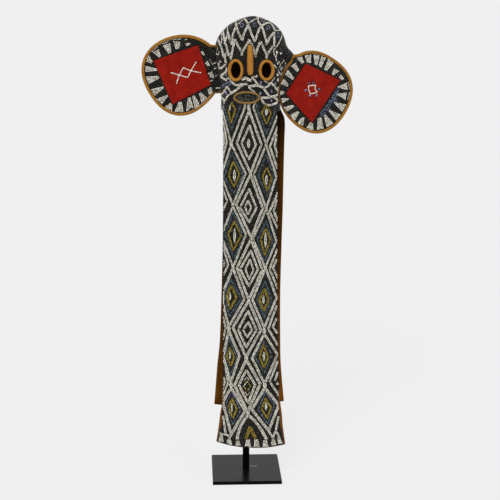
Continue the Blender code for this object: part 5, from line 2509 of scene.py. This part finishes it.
    def fill_hood(self, ground: Ground) -> None:
        """Fills what is left of the hood with dark beads, row by row up to the crown.

        Args:
            ground: the cloth to sew on.
        """
        for pitch, step, room in ((4.2, 3.3, LOOSE), (1.9, 1.8, SNUG)):
            z = FORM.floor + 0.0022
            while z < FORM.crown - BEAD_BED - 0.0002:
                ring = [FORM.point(2 * math.pi * number / 60, z, BEAD_BED) for number in range(61)]
                around = sum((b - a).length for a, b in zip(ring, ring[1:]))
                count = max(3, round(around / (pitch * MM)))
                for number in range(count):
                    angle = 2 * math.pi * number / count
                    spot, normal = ground.close(FORM.point(angle, z, BEAD_BED))
                    strand = DARK
                    if spot.x > 0.075 and spot.y < 0 and 1.36 < spot.z < 1.42:
                        strand = Strand.TEMPLE
                    if spot.y < 0 and MOUTH.share(spot.x, spot.z, 0.0) < 1:
                        strand = Strand.MOUTH
                    axis = normal.cross(UP)
                    axis = axis if axis.length > 0.1 else ACROSS
                    ground.put(spot, normal, axis, FILL_BEAD, strand, room)
                low = FORM.point(-math.pi / 2, z, BEAD_BED)
                high = FORM.point(-math.pi / 2, min(z + 0.0004, FORM.crown - BEAD_BED - 0.0001), BEAD_BED)
                z += step * MM * 0.0004 / max((high - low).length, 0.0004)


@dataclass
class EarBeads:
    """The beads of one ear: pale wedges round the edge, dark ground and the sign on the red."""

    form: EarForm
    work: BeadWork
    hood: BVHTree

    def clear(self, spot: Vector) -> bool:
        """Whether a spot is outside the hood."""
        near, normal, _, _ = self.hood.find_nearest(spot)
        return (spot - near).dot(normal) > 0.0018

    def in_patch(self, across: float, up: float, grow: float) -> bool:
        """Whether a spot lies on the red patch, grown by this much.

        Args:
            across: how far to the right of the ear's middle.
            up: how far above it.
            grow: how much larger it is taken.

        Returns:
            Whether it does.
        """
        corners = self.form.patch
        middle = Vector((sum(c[0] for c in corners) / 4, sum(c[1] for c in corners) / 4))
        for (x0, y0), (x1, y1) in zip(corners, corners[1:] + corners[:1]):
            out = Vector((y1 - y0, x0 - x1)).normalized()
            if out.dot(Vector((x0, y0)) - middle) < 0:
                out = -out
            if (Vector((across, up)) - Vector((x0, y0))).dot(out) > grow:
                return False
        return True

    def put(self, across: float, up: float, axis: Point, size: Point, strand: Strand, room: float) -> bool:
        """Sews a bead on the ear's cloth, beside the red patch.

        Args:
            across: how far to the right of the ear's middle.
            up: how far above it.
            axis: the line of the bead's hole.
            size: the bead's length and width.
            strand: the mix of glass.
            room: how near another bead may be.

        Returns:
            Whether a bead was sewn.
        """
        form = self.form
        angle = math.atan2(up, across)
        if math.hypot(across, up) > form.field(angle) - 0.0013:
            return False
        if self.in_patch(across, up, 0.0012):
            return False
        spot = form.place(across, up, form.thickness / 2 - BEAD_BED + BEAD_LIFT)
        if not self.clear(spot):
            return False
        along = form.place(axis[0], axis[1], 0) - form.place(0, 0, 0)
        return self.work.sew(f"{form.name}_beads", spot, along, size, strand, room)

    def widened(self, wedge: Sequence[Point]) -> list[Vector]:
        """A wedge whose outer end reaches the ear's edge roll, a little wider than measured.

        Args:
            wedge: its four corners, in millimetres.

        Returns:
            The four corners, in metres.
        """
        corners = [Vector(corner) * MM for corner in wedge]
        apart = (corners[1] - corners[0]).normalized() * 0.0009
        corners[0] -= apart
        corners[1] += apart
        middle = (corners[0] + corners[1]) / 2
        if any((Vector(spot) * MM - middle).length < 0.013 for line in self.form.arcs for spot in line):
            return corners
        for number in (0, 1):
            corner = corners[number]
            limit = self.form.field(math.atan2(corner.y, corner.x)) - ROLL_CLEAR
            if 0 < limit - corner.length < 0.008:
                corners[number] = corner * (limit / corner.length)
        return corners

    def build(self) -> None:
        """Sews the ear."""
        for wedge in self.form.wedges:
            self.wedge(self.widened(wedge), PALE)
        for line in self.form.arcs:
            spots = [Vector(spot) * MM for spot in line]
            limits = [self.form.field(math.atan2(spot.y, spot.x)) - ROLL_CLEAR for spot in spots]
            spots = [spot * min(limit / spot.length, 1.0) for spot, limit in zip(spots, limits)]
            for first, second in zip(spots, spots[1:]):
                self.thread(first, second)
        for x, y in self.form.dots:
            for side in (-2.1, 2.1):
                self.put((x + side) * MM, (y + 0.4 * side) * MM, (1, 0.2), (0.0042, 0.0038), PALE, 0.0024)
        for strip in self.form.strips:
            self.wedge([Vector(corner) * MM for corner in strip], Strand.SHADED)
        for pitch, step, room in ((4.2, 3.3, LOOSE), (2.0, 1.8, SNUG)):
            reach = self.form.radius + 0.006
            while reach > 0.03:
                count = round(2 * math.pi * reach / (pitch * MM))
                for number in range(count):
                    angle = 2 * math.pi * number / count
                    scale = self.form.reach(angle) / self.form.radius * reach
                    across, up = scale * math.cos(angle), scale * math.sin(angle)
                    axis = (-math.sin(angle), math.cos(angle))
                    self.put(across, up, axis, FILL_BEAD, DARK, room)
                reach -= step * MM

    def thread(self, start: Vector, end: Vector) -> None:
        """Lays one string of thin pale beads on the ear's cloth.

        Args:
            start: the first end.
            end: the other end.
        """
        count = max(1, round((end - start).length / 0.0038))
        for number in range(count):
            spot = start.lerp(end, (number + 0.5) / count)
            self.put(spot.x, spot.y, (end - start)[:], (0.0038, 0.0026), PALE, 0.0020)

    def wedge(self, corners: list[Vector], strand: Strand) -> None:
        """Fills a wedge with rows of beads across it.

        Args:
            corners: its four corners, the outer two first.
            strand: the mix of glass.
        """
        a, b, c, d = corners
        rows = max(1, round(((a + b) / 2 - (c + d) / 2).length / BEAD_ROW))
        for row in range(rows):
            share = (row + 0.5) / rows
            left, right = a.lerp(d, share), b.lerp(c, share)
            count = max(1, round((right - left).length / BEAD_RUN))
            along = (right - left).normalized()
            for number in range(count):
                spot = left.lerp(right, (number + 0.5) / count)
                length = max((right - left).length / count, 0.003)
                self.put(spot.x, spot.y, along[:], (length, BEAD_ROW), strand, 0.0026)

    def on_red(self, line: Sequence[Point], strand: Strand, length: float = BEAD_RUN, width: float = BEAD_ROW) -> None:
        """Threads beads along a line on the red patch, given in millimetres.

        Args:
            line: the line's corners, in millimetres.
            strand: the mix of glass.
            length: the length of a bead.
            width: the width of a bead.
        """
        out = self.form.thickness / 2 + GAP + self.form.patch_thickness + width / 2 - 0.0002
        for first, second in zip(line, line[1:]):
            a, b = Vector(first) * MM, Vector(second) * MM
            count = max(1, round((b - a).length / length))
            for number in range(count):
                spot = a.lerp(b, (number + 0.5) / count)
                centre = self.form.place(spot.x, spot.y, out)
                along = self.form.place(b.x, b.y, 0) - self.form.place(a.x, a.y, 0)
                self.work.sew(f"{self.form.name}_beads", centre, along, (length, width), strand, 0.0022)


def hood_cutter() -> Piece:
    """The hood as a solid, a gap larger all round, to trim the ears with.

    Returns:
        The solid.
    """
    net = FORM.shell(96, 44, -GAP, 0.0)
    rim = [edge for edge in net.edges if edge.is_boundary]
    bmesh.ops.holes_fill(net, edges=rim, sides=0)
    bmesh.ops.recalc_face_normals(net, faces=net.faces)
    return new_object("hood_solid", new_mesh(net, "hood_solid"))


def main() -> None:
    """Builds the mask on its stand and reports each piece."""
    logging.basicConfig(level=logging.INFO, format="%(message)s")
    Studio().build()
    Stand().build()
    hood_bed = Hood().build()
    FaceRolls().build()
    trunk_bed = TrunkPanel().build()
    BackPanel().build()
    cutter = hood_cutter()
    for form in (LEFT_EAR, RIGHT_EAR):
        Ear(form).build(cutter)
    solid = bmesh.new()
    solid.from_mesh(cutter.data)
    hood_tree = BVHTree.FromBMesh(solid)
    solid.free()
    bpy.data.objects.remove(cutter)
    joined = new_mesh(trunk_bed, "trunk_bed")
    hood_bed.from_mesh(joined)
    bed_tree = BVHTree.FromBMesh(hood_bed)
    hood_bed.free()
    bpy.data.meshes.remove(joined)
    work = BeadWork()
    MaskBeads(work, bed_tree).build()
    left = EarBeads(LEFT_EAR, work, hood_tree)
    right = EarBeads(RIGHT_EAR, work, hood_tree)
    left.on_red(((-35.0, 4.3), (-8.9, -2.8), (18.2, -10.4), (28.3, 10.5), (46.5, 39.3)), Strand.CHALK, width=0.0036)
    left.on_red(((-17.2, -30.6), (-8.9, -5.7), (4.3, 20.1), (28.3, 10.5), (60.4, 4.8)), Strand.CHALK, width=0.0036)
    square = ((-27.7, 20.7), (-2.9, 22.2), (-5.8, 9.7), (4, -1), (-20.8, -4.5), (-26.7, 7.8), (-27.7, 20.7))
    right.on_red(square, Strand.CHALK, length=0.0040, width=0.0036)
    for x, y in ((-27, 28.2), (-10.7, 29.8), (-36.4, 7), (9.2, 9.5), (-22.9, -10.3), (-0.1, -9.8)):
        for rise in (-1.8, 1.8):
            right.on_red(((x - 4, y + rise), (x + 4, y + rise)), Strand.RING, length=0.004)
    right.on_red(((-27, 62), (-22, 55)), DARK, length=0.004, width=0.0012)
    left.build()
    right.build()
    work.pieces()
    for piece in sorted(bpy.data.objects, key=lambda thing: thing.name):
        if piece.type == "MESH" and piece.visible_get():
            log.info("%s: %d faces", piece.name, len(piece.data.polygons))
    boxes = {"cad": CAD_BOX, "visual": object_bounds()}
    {name: [list(corner) for corner in box] for name, box in boxes.items()}


if __name__ == "__main__":
    main()
